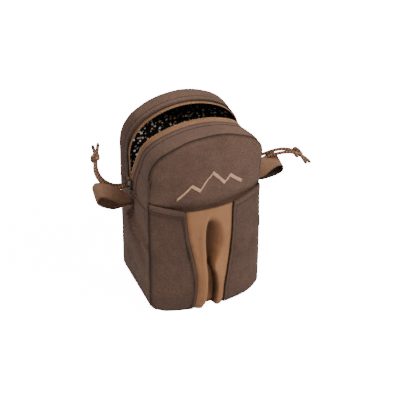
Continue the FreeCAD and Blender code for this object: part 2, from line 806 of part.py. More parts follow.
def build_back_webbing():
    """Two rows of webbing across the back, tacked down at three places each."""
    tack, half_run = S.row_tack, S.row_half_length
    for name, low in (("back_webbing_upper", S.upper_row_height), ("back_webbing_lower", S.lower_row_height)):
        body = new_body(name)
        sketch = plan_sketch(body, low)
        base = HALF_DEPTH
        inner = HALF_DEPTH + S.channel_gap
        outer = inner + S.webbing
        polygon(sketch, [
            (-half_run, base), (-half_run + tack, base), (-half_run + tack, inner),
            (-tack / 2, inner), (-tack / 2, base), (tack / 2, base), (tack / 2, inner),
            (half_run - tack, inner), (half_run - tack, base), (half_run, base),
            (half_run, outer), (-half_run, outer),
        ])
        pad(body, sketch, S.webbing_width)


# ---------------------------------------------------------------- zip hardware
def build_slider(word, side):
    """A zip slider: two plates, the divider between them and the bridge outside."""
    body = new_body(f"slider_{word}")
    low = S.slider_height - S.slider_length / 2
    high = S.slider_height + S.slider_length / 2
    outer_face = HALF_WIDTH + S.slider_clearance
    inner_face = HALF_WIDTH - S.fabric - S.lining / 2 - S.coil_thickness / 2 - S.slider_clearance
    y_low, y_high = S.zip_line - S.slider_width / 2, S.zip_line + S.slider_width / 2

    def block(x_near, x_far, y_near, y_far, z_low, z_high):
        x_start = x_near if side > 0 else -x_far
        sketch = plan_sketch(body, Size.of(z_low))
        x_end = x_start + (x_far - x_near)
        polygon(sketch, [(x_start, y_near), (x_end, y_near), (x_end, y_far), (x_start, y_far)])
        pad(body, sketch, z_high - z_low)

    divider = S.divider_width / 2
    block(inner_face, outer_face, S.zip_line - divider, S.zip_line + divider, high - S.divider_width * 3, high)
    block(outer_face, outer_face + S.plate, y_low, y_high, low, high)
    block(inner_face - S.plate, inner_face, y_low, y_high, low, high)
    post = S.bridge_post
    bridge_near = outer_face + S.plate
    bridge_far = bridge_near + S.bridge_reach
    bridge_low, bridge_high = low + S.bridge_setback, high - S.bridge_setback
    y_near, y_far = S.zip_line - S.bridge_width / 2, S.zip_line + S.bridge_width / 2
    block(bridge_near, bridge_far, y_near, y_far, bridge_low, bridge_low + post)
    block(bridge_near, bridge_far, y_near, y_far, bridge_high - post, bridge_high)
    block(bridge_far - post, bridge_far, y_near, y_far, bridge_low, bridge_high)


def build_zip_stops():
    """The stitched bar at each end of the zip, one per side."""
    size = Size.of(1.0)
    for word, side in (("left", -1), ("right", 1)):
        x_low = HALF_WIDTH if side > 0 else -HALF_WIDTH - size
        low = S.zip_end_height - S.fold_gap - 2.5
        box(f"zip_end_stop_{word}", (x_low, S.zip_line - 5, low), (size, 10, 2))


# ---------------------------------------------------------------- cord pulls
def rounded_path(points):
    """Straight runs joined by tangent arcs, and the list of arc radii."""
    edges, radii = [], []
    start = points[0]
    for before, here, after in zip(points, points[1:], points[2:]):
        inward = (here - before).normalize()
        outward = (after - here).normalize()
        run = min((here - before).Length, (after - here).Length)
        turn = inward.getAngle(outward)
        trim = 0.45 * run
        radius = trim / math.tan(turn / 2)
        entry = here - inward * trim
        leave = here + outward * trim
        to_centre = (outward - inward).normalize()
        centre = here + to_centre * (radius / math.cos(turn / 2))
        middle = centre - to_centre * radius
        edges.append(Part.LineSegment(start, entry).toShape())
        edges.append(Part.Arc(entry, middle, leave).toShape())
        radii.append(radius)
        start = leave
    edges.append(Part.LineSegment(start, points[-1]).toShape())
    return Part.Wire(edges), radii


def build_cord(name, points):
    """A round cord swept along a route of runs and arcs."""
    route = [Vector(*p) for p in points]
    path, radii = rounded_path(route)
    radius = S.cord_diameter.value / 2
    start_direction = route[1] - route[0]
    circle = Part.Wire(Part.Circle(route[0], start_direction, radius).toShape())
    shape = path.makePipeShell([circle], True, False)
    expected = math.pi * radius ** 2 * path.Length
    print(f"{name}: length {path.Length:.1f} mm, volume ratio {shape.Volume / expected:.4f}, "
          f"radii {[round(r, 1) for r in radii]}")
    feature = DOC.addObject("Part::Feature", name)
    feature.Label = name
    feature.Shape = shape
    SUBPARTS.append(feature)


def build_knot(name, centre, axis, half_length, radius):
    """The knot that closes a pull, as a plain egg of its outer size."""
    knot = DOC.addObject("Part::Ellipsoid", name)
    knot.Label = name
    knot.Radius1 = half_length
    knot.Radius2 = radius
    knot.Radius3 = radius
    knot.Angle1, knot.Angle2, knot.Angle3 = -90, 90, 360
    knot.Placement = Placement(Vector(*centre), Rotation(Vector(0, 0, 1), Vector(*axis)))
    SUBPARTS.append(knot)


# Each pull is one cord folded through the slider's bridge: two strands side by
# side that enter the knot together and leave it as two cut tails. The strands
# start clear of the bridge, so that the pull can swing.
LEFT_STRANDS = {
    "a": [(-75.0, 12.0, 137.8), (-80.5, 14.4, 136.6), (-87.4, 17.4, 138.8), (-94.6, 21.4, 145.0),
          (-98.0, 25.6, 154.4), (-97.0, 29.2, 163.6), (-96.8, 32.4, 172.2), (-98.6, 34.4, 181.0)],
    "b": [(-75.0, 8.8, 136.0), (-81.0, 11.2, 134.8), (-89.0, 14.2, 136.6), (-97.2, 18.4, 143.6),
          (-101.0, 23.0, 154.0), (-98.6, 27.4, 163.6), (-94.2, 32.0, 172.4), (-91.6, 35.6, 181.6)],
}
RIGHT_STRANDS = {
    "a": [(75.0, 11.2, 138.4), (81.0, 10.2, 137.8), (87.8, 7.2, 139.8), (94.6, 2.2, 145.0),
          (102.4, -2.6, 149.6), (112.0, -7.4, 151.6), (121.6, -13.0, 149.4), (128.8, -17.4, 142.6),
          (132.2, -20.0, 134.2)],
    "b": [(75.0, 7.4, 136.4), (82.0, 6.4, 135.4), (90.0, 3.4, 137.2), (97.2, -1.6, 142.6),
          (104.4, -6.2, 146.6), (112.8, -10.2, 148.6), (121.6, -13.8, 147.6), (130.4, -17.6, 142.4),
          (137.2, -20.2, 134.6)],
}


def build_pulls():
    """Both cord pulls."""
    for word, strands in (("left", LEFT_STRANDS), ("right", RIGHT_STRANDS)):
        for letter, points in strands.items():
            build_cord(f"pull_cord_{word}_{letter}", points)
    build_knot("pull_knot_left", (-97.0, 30.2, 167.2), (0.12, 0.36, 0.92), 6.6, 4.6)
    build_knot("pull_knot_right", (123.2, -14.2, 147.4), (0.78, -0.38, -0.50), 6.6, 4.6)


def check_and_export():
    """Refuse any failed feature or bad shape, then write one STEP file per sub-part."""
    DOC.recompute()
    for item in DOC.Objects:
        if {"Invalid", "Error"} & set(item.State):
            raise RuntimeError(f"{item.Label} failed: {item.State}")
    names = [item.Label for item in SUBPARTS]
    if len(set(names)) != len(names):
        raise RuntimeError("two sub-parts share a label")
    os.makedirs("parts", exist_ok=True)
    for item in SUBPARTS:
        shape = item.Shape
        if shape.isNull() or not shape.isValid() or shape.Volume <= 0:
            raise RuntimeError(f"{item.Label} has no valid solid")
        shape.exportStep(f"parts/{item.Label}.step")
        limits = shape.BoundBox
        print(f"{item.Label}: x {limits.XMin:.1f}..{limits.XMax:.1f} y {limits.YMin:.1f}..{limits.YMax:.1f} "
              f"z {limits.ZMin:.1f}..{limits.ZMax:.1f} volume {shape.Volume:.0f}")
    print(f"{len(SUBPARTS)} sub-parts written")


def main():
    build_shell()
    build_rear_strip()
    build_flap()
    build_motif()
    build_pocket()
    build_side_loop("left", -1, rise_degrees=18)
    build_side_loop("right", 1, rise_degrees=8)
    for word, side in (("left", -1), ("right", 1)):
        build_loop_root(word, side)
        build_slider(word, side)
    build_back_webbing()
    build_zip_stops()
    build_pulls()
    check_and_export()


main()
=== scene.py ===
"""The looks of an upright padded pouch: cloth walls, arched zip, cord pulls, webbing loops and stretch pocket."""

import logging
import math
from dataclasses import dataclass, field
from enum import Enum
from typing import Any, Callable, Iterable, Sequence

import bmesh
import bpy
import numpy as np
from mathutils import Matrix, Vector

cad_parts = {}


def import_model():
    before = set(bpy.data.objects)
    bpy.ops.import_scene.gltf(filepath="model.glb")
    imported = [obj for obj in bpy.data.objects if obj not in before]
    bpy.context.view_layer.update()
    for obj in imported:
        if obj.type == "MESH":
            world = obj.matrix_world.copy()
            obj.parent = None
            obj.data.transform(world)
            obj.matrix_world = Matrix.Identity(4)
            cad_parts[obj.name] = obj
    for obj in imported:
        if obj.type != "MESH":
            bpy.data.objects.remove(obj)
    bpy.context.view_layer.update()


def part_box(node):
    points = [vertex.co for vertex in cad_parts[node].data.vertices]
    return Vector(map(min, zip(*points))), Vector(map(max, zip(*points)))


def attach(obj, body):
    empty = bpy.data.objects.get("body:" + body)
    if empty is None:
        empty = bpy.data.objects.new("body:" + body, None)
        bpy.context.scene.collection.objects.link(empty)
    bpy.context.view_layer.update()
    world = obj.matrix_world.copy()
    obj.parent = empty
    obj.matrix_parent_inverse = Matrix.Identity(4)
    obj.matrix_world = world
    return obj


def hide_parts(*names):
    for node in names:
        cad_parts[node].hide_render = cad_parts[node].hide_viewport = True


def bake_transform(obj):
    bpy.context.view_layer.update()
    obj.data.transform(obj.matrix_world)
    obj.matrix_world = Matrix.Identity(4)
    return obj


LOG = logging.getLogger("pouch")
SIDES = ((-1.0, "left"), (1.0, "right"))
MM = 0.001
PURE_WHITE = 15.0  # strength at which the floor and the surroundings read as pure white


# ---------------------------------------------------------------- shaping curves
def ease(t: np.ndarray | float) -> np.ndarray:
    """A smooth step from 0 to 1."""
    t = np.clip(t, 0.0, 1.0)
    return t * t * (3.0 - 2.0 * t)


def hump(distance: np.ndarray, width: float) -> np.ndarray:
    """A bell of height 1 that falls off over width."""
    return np.exp(-((distance / width) ** 2))


def table(at: np.ndarray, rows: Sequence[tuple[float, float]]) -> np.ndarray:
    """A smoothed value looked up by height.

    Args:
        at: Heights in metres.
        rows: Pairs of height and value in millimetres, in rising order.

    Returns:
        The values in metres.
    """
    heights = np.array([r[0] for r in rows]) * MM
    values = np.array([r[1] for r in rows]) * MM
    fine = np.linspace(heights[0], heights[-1], 90)
    rough = np.interp(fine, heights, values)
    kernel = np.hanning(13)
    padded = np.pad(rough, 6, mode="edge")
    return np.interp(at, fine, np.convolve(padded, kernel / kernel.sum(), mode="valid"))


def ripple(a: np.ndarray, b: np.ndarray, seed: float, height: float = 0.45 * MM) -> np.ndarray:
    """The slight unevenness of sewn cloth over foam.

    Args:
        a: First place on the cloth, in metres.
        b: Second place on the cloth, in metres.
        seed: Any number; it picks one pattern.
        height: The size of the unevenness in metres.

    Returns:
        Offsets in metres.
    """
    total = np.zeros(np.broadcast(a, b).shape)
    for k, wave in enumerate((61.0, 37.0, 23.0, 14.0)):
        turn = seed * (k + 1.7) * 1.3
        along = a * math.cos(turn) + b * math.sin(turn)
        across = b * math.cos(turn) - a * math.sin(turn)
        bend = 1.7 * np.sin(across / MM / wave * 4.1)
        total = total + np.sin(along / MM / wave * 6.283 + seed * 2.1 + bend) / (k + 1.4)
    return total * height


def grid(*parts: np.ndarray | float) -> np.ndarray:
    """Places or cloth coordinates from their parts, spread to one shape."""
    return np.stack(np.broadcast_arrays(*parts), axis=-1)


def running(points: np.ndarray) -> np.ndarray:
    """The length along a line at each of its places."""
    return np.concatenate([[0.0], np.cumsum(np.linalg.norm(np.diff(points, axis=0), axis=1))])


@dataclass(frozen=True)
class Crease:
    """A fold in a wall, from one place to another, as a rounded ridge or valley."""

    start: tuple[float, float]
    end: tuple[float, float]
    height: float
    width: float

    def offset(self, a: np.ndarray, b: np.ndarray) -> np.ndarray:
        """The offset in metres at places given in metres."""
        p, q = np.array(self.start) * MM, np.array(self.end) * MM
        run = q - p
        t = np.clip(((a - p[0]) * run[0] + (b - p[1]) * run[1]) / (run @ run), 0, 1)
        far = np.hypot(a - p[0] - t * run[0], b - p[1] - t * run[1])
        return self.height * MM * (1.0 - 0.55 * t) * hump(far, self.width * MM * (0.7 + 0.6 * t))


# ---------------------------------------------------------------- outline and fold
@dataclass(frozen=True)
class Arch:
    """The D-shaped outline: straight legs, two corner arcs and a crown arc of 60 degrees."""

    half: float
    height: float
    corner: float

    @property
    def crown(self) -> float:
        """Radius of the crown arc."""
        return self.corner + (self.half - self.corner) * 2

    @property
    def spring(self) -> float:
        """Height at which the corner arcs start."""
        return self.height - self.crown + (self.half - self.corner) * math.sqrt(3.0)

    @property
    def crown_centre(self) -> float:
        """Height of the crown arc's centre."""
        return self.height - self.crown

    def trace(self, low: float, count: int) -> tuple[np.ndarray, np.ndarray, np.ndarray]:
        """Walk the outline from the left foot over the crown to the right foot.

        Args:
            low: Height of both feet.
            count: Number of places.

        Returns:
            Places (x, z), outward normals (x, z) and lengths along the outline.
        """
        leg, bend = self.spring - low, self.corner * math.pi / 3
        top = self.crown * math.pi / 3
        s = np.linspace(0.0, 2 * (leg + bend) + top, count)
        places, normals = np.zeros((count, 2)), np.zeros((count, 2))
        for i, run in enumerate(s):
            mirror = run > leg + bend + top / 2
            d = s[-1] - run if mirror else run
            if d <= leg:
                spot, normal = (-self.half, low + d), (-1.0, 0.0)
            elif d <= leg + bend:
                turn = math.pi - (d - leg) / self.corner
                normal = (math.cos(turn), math.sin(turn))
                spot = (self.corner - self.half + self.corner * normal[0], self.spring + self.corner * normal[1])
            else:
                turn = math.pi * 2 / 3 - (d - leg - bend) / self.crown
                normal = (math.cos(turn), math.sin(turn))
                spot = (self.crown * normal[0], self.crown_centre + self.crown * normal[1])
            sign = -1.0 if mirror else 1.0
            places[i], normals[i] = (spot[0] * sign, spot[1]), (normal[0] * sign, normal[1])
        return places, normals, s

    def depth(self, x: np.ndarray, z: np.ndarray) -> np.ndarray:
        """How far inside the outline a place lies, in metres."""
        x = np.abs(x)
        leg = self.half - x
        crown = self.crown - np.hypot(x, z - self.crown_centre)
        bend = self.corner - np.hypot(x - self.half + self.corner, z - self.spring)
        on_crown = x < (z - self.crown_centre) / math.sqrt(3.0)
        return np.where(z < self.spring, leg, np.where(on_crown, crown, bend))


@dataclass(frozen=True)
class Fold:
    """The line across the front about which the upper part leans open."""

    y: float
    z: float
    lean: float = math.radians(9.0)
    low: float = 128 * MM
    high: float = 150 * MM

    def forward(self, places: np.ndarray) -> np.ndarray:
        """Lean upright places forward, easing in over the bending cloth."""
        turn = self.lean * ease((places[..., 2] - self.low) / (self.high - self.low))
        dy, dz = places[..., 1] - self.y, places[..., 2] - self.z
        out = places.copy()
        out[..., 1] = self.y + dy * np.cos(turn) - dz * np.sin(turn)
        out[..., 2] = self.z + dy * np.sin(turn) + dz * np.cos(turn)
        return out

    def bend(self, piece: bpy.types.Object) -> None:
        """Bake a piece's transform into its mesh; the piece is not attached to a body."""
        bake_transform(piece)


# ---------------------------------------------------------------- shader helpers
def tone(red: float, green: float, blue: float) -> tuple[float, float, float, float]:
    """A display colour from 0 to 255 as a linear one."""
    parts = [v / 255 for v in (red, green, blue)]
    line = [v / 12.92 if v <= 0.04045 else ((v + 0.055) / 1.055) ** 2.4 for v in parts]
    return line[0], line[1], line[2], 1.0


class Tree:
    """A node tree with short calls for what the finishes need."""

    def __init__(self, tree: bpy.types.NodeTree) -> None:
        """Wrap an empty or new tree."""
        self.tree = tree

    def feed(self, socket: bpy.types.NodeSocket, value: Any) -> None:
        """Link a socket, or set its own value."""
        if isinstance(value, bpy.types.NodeSocket):
            self.tree.links.new(value, socket)
        else:
            socket.default_value = value

    def add(self, kind: str, inputs: dict[Any, Any] | None = None, **settings: Any) -> bpy.types.Node:
        """Add one node.

        Args:
            kind: The node's type without its common first word.
            inputs: Values or sockets for its inputs, by name or place.
            settings: Its own properties.

        Returns:
            The node.
        """
        node = self.tree.nodes.new("ShaderNode" + kind)
        for key, value in settings.items():
            setattr(node, key, value)
        for key, value in (inputs or {}).items():
            self.feed(node.inputs[key], value)
        return node

    def math(self, operation: str, *values: Any, clamp: bool = False) -> bpy.types.NodeSocket:
        """A math node's result."""
        return self.add("Math", dict(enumerate(values)), operation=operation, use_clamp=clamp).outputs[0]

    def blend(self, factor: Any, low: Any, high: Any) -> bpy.types.NodeSocket:
        """A mix of two colours."""
        return self.add("Mix", {0: factor, 6: low, 7: high}, data_type="RGBA").outputs[2]

    def spread(self, value: Any, low: float, high: float, to_low: float = 0.0,
               to_high: float = 1.0) -> bpy.types.NodeSocket:
        """A value mapped from one range to another, clamped."""
        return self.add("MapRange", {0: value, 1: low, 2: high, 3: to_low, 4: to_high}).outputs[0]

    def noise(self, place: Any, scale: float, detail: float, rough: float = 0.55) -> bpy.types.NodeSocket:
        """A noise value around one half."""
        inputs = {"Vector": place, "Scale": scale, "Detail": detail, "Roughness": rough}
        return self.add("TexNoise", inputs).outputs[0]

    def place(self, kind: str = "Object") -> bpy.types.NodeSocket:
        """Object coordinates, or the cloth's own map."""
        if kind == "Object":
            return self.add("TexCoord").outputs["Object"]
        return self.add("UVMap", uv_map="cloth").outputs[0]

    def use(self, effect: "Effect", **inputs: Any) -> Any:
        """Place a shared effect and give its outputs by name."""
        node = self.add("Group", node_tree=effect.group())
        for key, value in inputs.items():
            self.feed(node.inputs[key], value)
        return node.outputs


@dataclass(frozen=True)
class Effect:
    """A shared effect: a node group with named inputs and outputs, built once."""

    name: str
    takes: tuple[tuple[str, str, Any], ...]
    gives: tuple[tuple[str, str], ...]
    build: Callable[[Tree, dict[str, Any]], dict[str, Any]]

    def group(self) -> bpy.types.NodeTree:
        """The group, made at its first use."""
        found = bpy.data.node_groups.get(self.name)
        if found:
            return found
        tree = bpy.data.node_groups.new(self.name, "ShaderNodeTree")
        for title, kind, value in self.takes:
            socket = tree.interface.new_socket(title, in_out="INPUT", socket_type="NodeSocket" + kind)
            if value is not None:
                socket.default_value = value
        for title, kind in self.gives:
            tree.interface.new_socket(title, in_out="OUTPUT", socket_type="NodeSocket" + kind)
        nodes = Tree(tree)
        entry = tree.nodes.new("NodeGroupInput")
        results = self.build(nodes, {title: entry.outputs[title] for title, _, _ in self.takes})
        leave = tree.nodes.new("NodeGroupOutput")
        for title, socket in results.items():
            tree.links.new(socket, leave.inputs[title])
        return tree


def split(nodes: Tree, vector: Any) -> tuple[Any, Any]:
    """The first two parts of a vector."""
    node = nodes.add("SeparateXYZ", {0: vector})
    return node.outputs[0], node.outputs[1]


def weave_nodes(nodes: Tree, given: dict[str, Any]) -> dict[str, Any]:
    """Threads that pass over and under each other, with slubs, and a mask for painted shade in the gaps between
    them.
    """
    wobble = nodes.noise(given["Place"], 900.0, 2.0)
    u, v = split(nodes, given["Place"])
    shift = nodes.math("MULTIPLY", nodes.math("SUBTRACT", wobble, 0.5), 0.00025)
    rate = nodes.math("DIVIDE", math.pi, given["Pitch"])
    first = nodes.math("SINE", nodes.math("MULTIPLY", nodes.math("ADD", u, shift), rate))
    second = nodes.math("SINE", nodes.math("MULTIPLY", nodes.math("ADD", v, shift), rate))
    crossing = nodes.math("MULTIPLY", first, second)
    height = nodes.math("MULTIPLY_ADD", crossing, 0.4, nodes.math("MULTIPLY", wobble, 0.9))
    return {"Height": height, "Gaps": nodes.spread(crossing, -1.0, -0.1, 1.0, 0.0)}


def stripe_nodes(nodes: Tree, given: dict[str, Any]) -> dict[str, Any]:
    """Slanting ribs that turn about at a set width, as on tape and webbing."""
    u, v = split(nodes, given["Place"])
    zigzag = nodes.math("PINGPONG", v, given["Turn"])
    phase = nodes.math("ADD", u, nodes.math("MULTIPLY", zigzag, given["Slant"]))
    wave = nodes.math("SINE", nodes.math("MULTIPLY", phase, nodes.math("DIVIDE", 2 * math.pi, given["Pitch"])))
    return {"Height": nodes.math("MULTIPLY_ADD", wave, 0.5, 0.5)}


def mottle_nodes(nodes: Tree, given: dict[str, Any]) -> dict[str, Any]:
    """Broad and fine patches of faded and darker cloth."""
    broad = nodes.noise(given["Place"], 26.0, 3.0)
    fine = nodes.noise(given["Place"], 340.0, 4.0, 0.7)
    both = nodes.math("MULTIPLY_ADD", fine, given["Fine"], nodes.math("MULTIPLY", broad, 0.8))
    return {"Patch": nodes.spread(both, 0.35, 0.85), "Grain": fine}


def seam_nodes(nodes: Tree, given: dict[str, Any]) -> dict[str, Any]:
    """Painted shade and puckers beside a seam, from the piece's own seam attribute."""
    mark = nodes.add("Attribute", attribute_name="seam").outputs["Fac"]
    puckers = nodes.noise(given["Place"], 210.0, 2.0)
    return {"Shade": nodes.math("MULTIPLY", mark, given["Depth"], clamp=True),
            "Puckers": nodes.math("MULTIPLY", puckers, nodes.spread(mark, 0.0, 0.5))}


WEAVE = Effect("weave", (("Place", "Vector", None), ("Pitch", "Float", 0.0006)),
               (("Height", "Float"), ("Gaps", "Float")), weave_nodes)
STRIPES = Effect("slanting_ribs", (("Place", "Vector", None), ("Pitch", "Float", 0.0012), ("Turn", "Float", 0.002),
                                   ("Slant", "Float", 1.0)), (("Height", "Float"),), stripe_nodes)
MOTTLE = Effect("mottle", (("Place", "Vector", None), ("Fine", "Float", 0.4)),
                (("Patch", "Float"), ("Grain", "Float")), mottle_nodes)
SEAM = Effect("seam_shade", (("Place", "Vector", None), ("Depth", "Float", 0.8)),
              (("Shade", "Float"), ("Puckers", "Float")), seam_nodes)


# ---------------------------------------------------------------- finishes
@dataclass(frozen=True)
class Finish:
    """A finish, made into a material at its first use."""

    name: str
    light: tuple[float, float, float] = (132, 101, 85)
    dark: tuple[float, float, float] = (98, 74, 62)
    rough: float = 0.88
    sheen: float = 0.03
    pitch: float = 0.75 * MM

    def material(self) -> bpy.types.Material:
        """The material, built once."""
        found = bpy.data.materials.get(self.name)
        if found:
            return found
        made = bpy.data.materials.new(self.name)
        made.use_nodes = True
        made.node_tree.nodes.clear()
        nodes = Tree(made.node_tree)
        shader = nodes.add("BsdfPrincipled", {"Roughness": self.rough, "Sheen Weight": self.sheen,
                                              "Sheen Roughness": 0.45, "Specular IOR Level": 0.25})
        self.dress(nodes, shader)
        leave = nodes.add("OutputMaterial")
        nodes.feed(leave.inputs[0], shader.outputs[0])
        made.diffuse_color = tone(*self.light)
        return made

    def dress(self, nodes: Tree, shader: bpy.types.Node) -> None:
        """Set colour, roughness and relief; each kind of finish has its own."""
        raise NotImplementedError

    def coat(self, nodes: Tree, shader: bpy.types.Node, colour: Any, rough: tuple[Any, float, float, float, float],
             *layers: tuple[Any, float]) -> None:
        """Give the shader its colour, its roughness and its stacked bump layers.

        Args:
            nodes: The material's nodes.
            shader: The surface shader.
            colour: The base colour.
            rough: A value, its range, and how much the roughness changes at each end of it.
            layers: Heights with how deep each is, in metres.
        """
        grain, low, high, below, above = rough
        nodes.feed(shader.inputs["Base Color"], colour)
        nodes.feed(shader.inputs["Roughness"],
                   nodes.spread(grain, low, high, self.rough + below, self.rough + above))
        normal = None
        for height, deep in layers:
            inputs = {"Height": height, "Distance": deep, "Strength": 1.0}
            if normal is not None:
                inputs["Normal"] = normal
            normal = nodes.add("Bump", inputs).outputs[0]
        nodes.feed(shader.inputs["Normal"], normal)


@dataclass(frozen=True)
class Canvas(Finish):
    """Woven canvas with faded patches, with painted shade in the seams and between threads."""

    def dress(self, nodes: Tree, shader: bpy.types.Node) -> None:
        """Weave, patches, and painted shade in the seams and thread gaps."""
        spot = nodes.place()
        weave = nodes.use(WEAVE, Place=nodes.place("cloth"), Pitch=self.pitch)
        patch = nodes.use(MOTTLE, Place=spot, Fine=0.45)
        seam = nodes.use(SEAM, Place=spot, Depth=0.85)
        speck = nodes.spread(nodes.noise(spot, 900.0, 2.0, 0.8), 0.4, 0.62)
        colour = nodes.blend(patch["Patch"], tone(*self.dark), tone(*self.light))
        colour = nodes.blend(nodes.math("MULTIPLY", speck, 0.42), colour, tone(66, 50, 42))
        # Painted shade: the gaps between threads are darkened.
        colour = nodes.blend(nodes.math("MULTIPLY", weave["Gaps"], 0.3), colour, tone(50, 38, 33))
        # Painted shade beside seams, in grooves and in hollows, by the seam attribute.
        colour = nodes.blend(seam["Shade"], colour, tone(34, 26, 23))
        self.coat(nodes, shader, colour, (patch["Grain"], 0.2, 0.8, -0.08, 0.06), (patch["Patch"], 0.5 * MM),
                  (seam["Puckers"], 1.1 * MM), (weave["Height"], 0.22 * MM))


@dataclass(frozen=True)
class Lining(Finish):
    """Smooth black lining, printed with pale, white and orange flecks."""

    flecks: bool = True
    prints: tuple[tuple[float, float, tuple[int, int, int]], ...] = (
        (230.0, 0.38, (255, 240, 230)), (215.0, 0.34, (240, 172, 122)), (310.0, 0.38, (186, 164, 152)))

    def dress(self, nodes: Tree, shader: bpy.types.Node) -> None:
        """Flecks of several sizes on near-black, with a soft gloss; the flecks fade out towards the top as painted
        shadow.
        """
        spot = nodes.place()
        weave = nodes.use(WEAVE, Place=nodes.place("cloth"), Pitch=0.35 * MM)
        soft = nodes.noise(spot, 90.0, 2.0)
        # Painted shadow: the flecks fade out above about 0.19 m, leaving the top of the lining plain black as if
        # shaded by the rear strip.
        clear_of_painted_shadow = nodes.spread(nodes.add("SeparateXYZ", {0: spot}).outputs[2], 0.202, 0.178)
        colour: Any = nodes.blend(soft, tone(16, 15, 15), tone(30, 27, 26))
        for scale, size, hue in self.prints if self.flecks else ():
            shift = (hue[1] * 0.01, 0.3, hue[2] * 0.02)
            warped = nodes.add("VectorMath", {0: spot, 1: shift}, operation="ADD").outputs[0]
            cells = nodes.add("TexVoronoi", {"Vector": warped, "Scale": scale, "Randomness": 1.0}).outputs
            chance = nodes.add("SeparateColor", {0: cells["Color"]}).outputs[0]
            keep = nodes.math("MULTIPLY", nodes.math("GREATER_THAN", chance, 0.48), clear_of_painted_shadow)
            near = nodes.spread(cells["Distance"], size, size - 0.1)
            colour = nodes.blend(nodes.math("MULTIPLY", near, keep), colour, tone(*hue))
        self.coat(nodes, shader, colour, (soft, 0.3, 0.7, -0.1, 0.1), (soft, 1.2 * MM),
                  (weave["Height"], 0.08 * MM))


@dataclass(frozen=True)
class Ribbed(Finish):
    """Tape or webbing with slanting ribs that turn about across its width."""

    turn: float = 3 * MM
    slant: float = 1.0
    deep: float = 0.3 * MM

    def dress(self, nodes: Tree, shader: bpy.types.Node) -> None:
        """Ribs, patches, and painted shade in the rib grooves and beside seams."""
        spot = nodes.place()
        ribs = nodes.use(STRIPES, Place=nodes.place("cloth"), Pitch=self.pitch, Turn=self.turn, Slant=self.slant)
        patch = nodes.use(MOTTLE, Place=spot, Fine=0.5)
        seam = nodes.use(SEAM, Place=spot, Depth=0.8)
        # Painted shade in the rib grooves, mixed with the random patches; then painted shade beside seams.
        groove_shade_and_mottle = nodes.math("MULTIPLY_ADD", ribs["Height"], 0.5, nodes.math("MULTIPLY", patch["Patch"], 0.5))
        colour = nodes.blend(groove_shade_and_mottle, tone(*self.dark), tone(*self.light))
        colour = nodes.blend(seam["Shade"], colour, tone(40, 30, 25))
        self.coat(nodes, shader, colour, (ribs["Height"], 0.0, 1.0, 0.08, -0.08), (patch["Grain"], 0.15 * MM),
                  (ribs["Height"], self.deep))


@dataclass(frozen=True)
class Knit(Finish):
    """Smooth stretch knit with fine upright ribs and a soft sheen."""

    def dress(self, nodes: Tree, shader: bpy.types.Node) -> None:
        """Fine ribs, soft patches, and painted shade in the rib grooves, the seams and the fold's hollow."""
        spot = nodes.place()
        rows = nodes.use(STRIPES, Place=nodes.place("cloth"), Pitch=self.pitch, Turn=0.5 * MM, Slant=0.4)
        patch = nodes.use(MOTTLE, Place=spot, Fine=0.35)
        seam = nodes.use(SEAM, Place=spot, Depth=0.95)
        # Painted shade in the rib grooves, mixed with the random patches; then painted shade in seams and the
        # fold's hollow.
        groove_shade_and_mottle = nodes.math("MULTIPLY_ADD", rows["Height"], 0.25, nodes.math("MULTIPLY", patch["Patch"], 0.75))
        colour = nodes.blend(groove_shade_and_mottle, tone(*self.dark), tone(*self.light))
        colour = nodes.blend(seam["Shade"], colour, tone(56, 38, 26))
        self.coat(nodes, shader, colour, (patch["Grain"], 0.2, 0.8, -0.08, 0.08), (patch["Patch"], 0.4 * MM),
                  (rows["Height"], 0.12 * MM))


@dataclass(frozen=True)
class Braid(Finish):
    """Round braided cord in mottled browns, or twisted thread at a smaller pitch."""

    deep: float = 0.5 * MM
    turn: float = 1.3 * MM

    def dress(self, nodes: Tree, shader: bpy.types.Node) -> None:
        """Strands that lie both ways round, flecked light and dark, with painted shade in the crevices between
        strands.
        """
        cloth = nodes.place("cloth")
        plait = nodes.use(STRIPES, Place=cloth, Pitch=self.pitch, Turn=self.turn, Slant=0.9)
        speck = nodes.spread(nodes.noise(cloth, 520.0, 2.0, 0.7), 0.38, 0.58, 0.5, 1.0)
        patch = nodes.use(MOTTLE, Place=nodes.place(), Fine=0.8)
        # Painted shade in the crevices between strands, times the random flecks.
        groove_shade_and_mottle = nodes.math("MULTIPLY", speck, nodes.spread(plait["Height"], -0.35, 0.8))
        colour = nodes.blend(groove_shade_and_mottle, tone(*self.dark), tone(*self.light))
        self.coat(nodes, shader, colour, (patch["Grain"], 0.2, 0.8, -0.1, 0.1), (patch["Grain"], 0.2 * MM),
                  (plait["Height"], self.deep))


@dataclass(frozen=True)
class Enamel(Finish):
    """Painted metal or moulded plastic with rubbed, lighter high spots."""

    metal: bool = True
    worn: tuple[float, float, float] = (150, 118, 92)

    def dress(self, nodes: Tree, shader: bpy.types.Node) -> None:
        """Paint, rubbed spots and fine scratches."""
        spot = nodes.place()
        patch = nodes.use(MOTTLE, Place=spot, Fine=0.6)
        rub = nodes.spread(nodes.noise(spot, 700.0, 4.0, 0.7), 0.56, 0.7)
        colour = nodes.blend(patch["Patch"], tone(*self.dark), tone(*self.light))
        colour = nodes.blend(nodes.math("MULTIPLY", rub, 0.6), colour, tone(*self.worn))
        if self.metal:
            nodes.feed(shader.inputs["Metallic"], nodes.spread(rub, 0.0, 1.0, 0.25, 0.9))
        self.coat(nodes, shader, colour, (patch["Grain"], 0.2, 0.8, -0.1, 0.12), (patch["Grain"], 0.06 * MM))


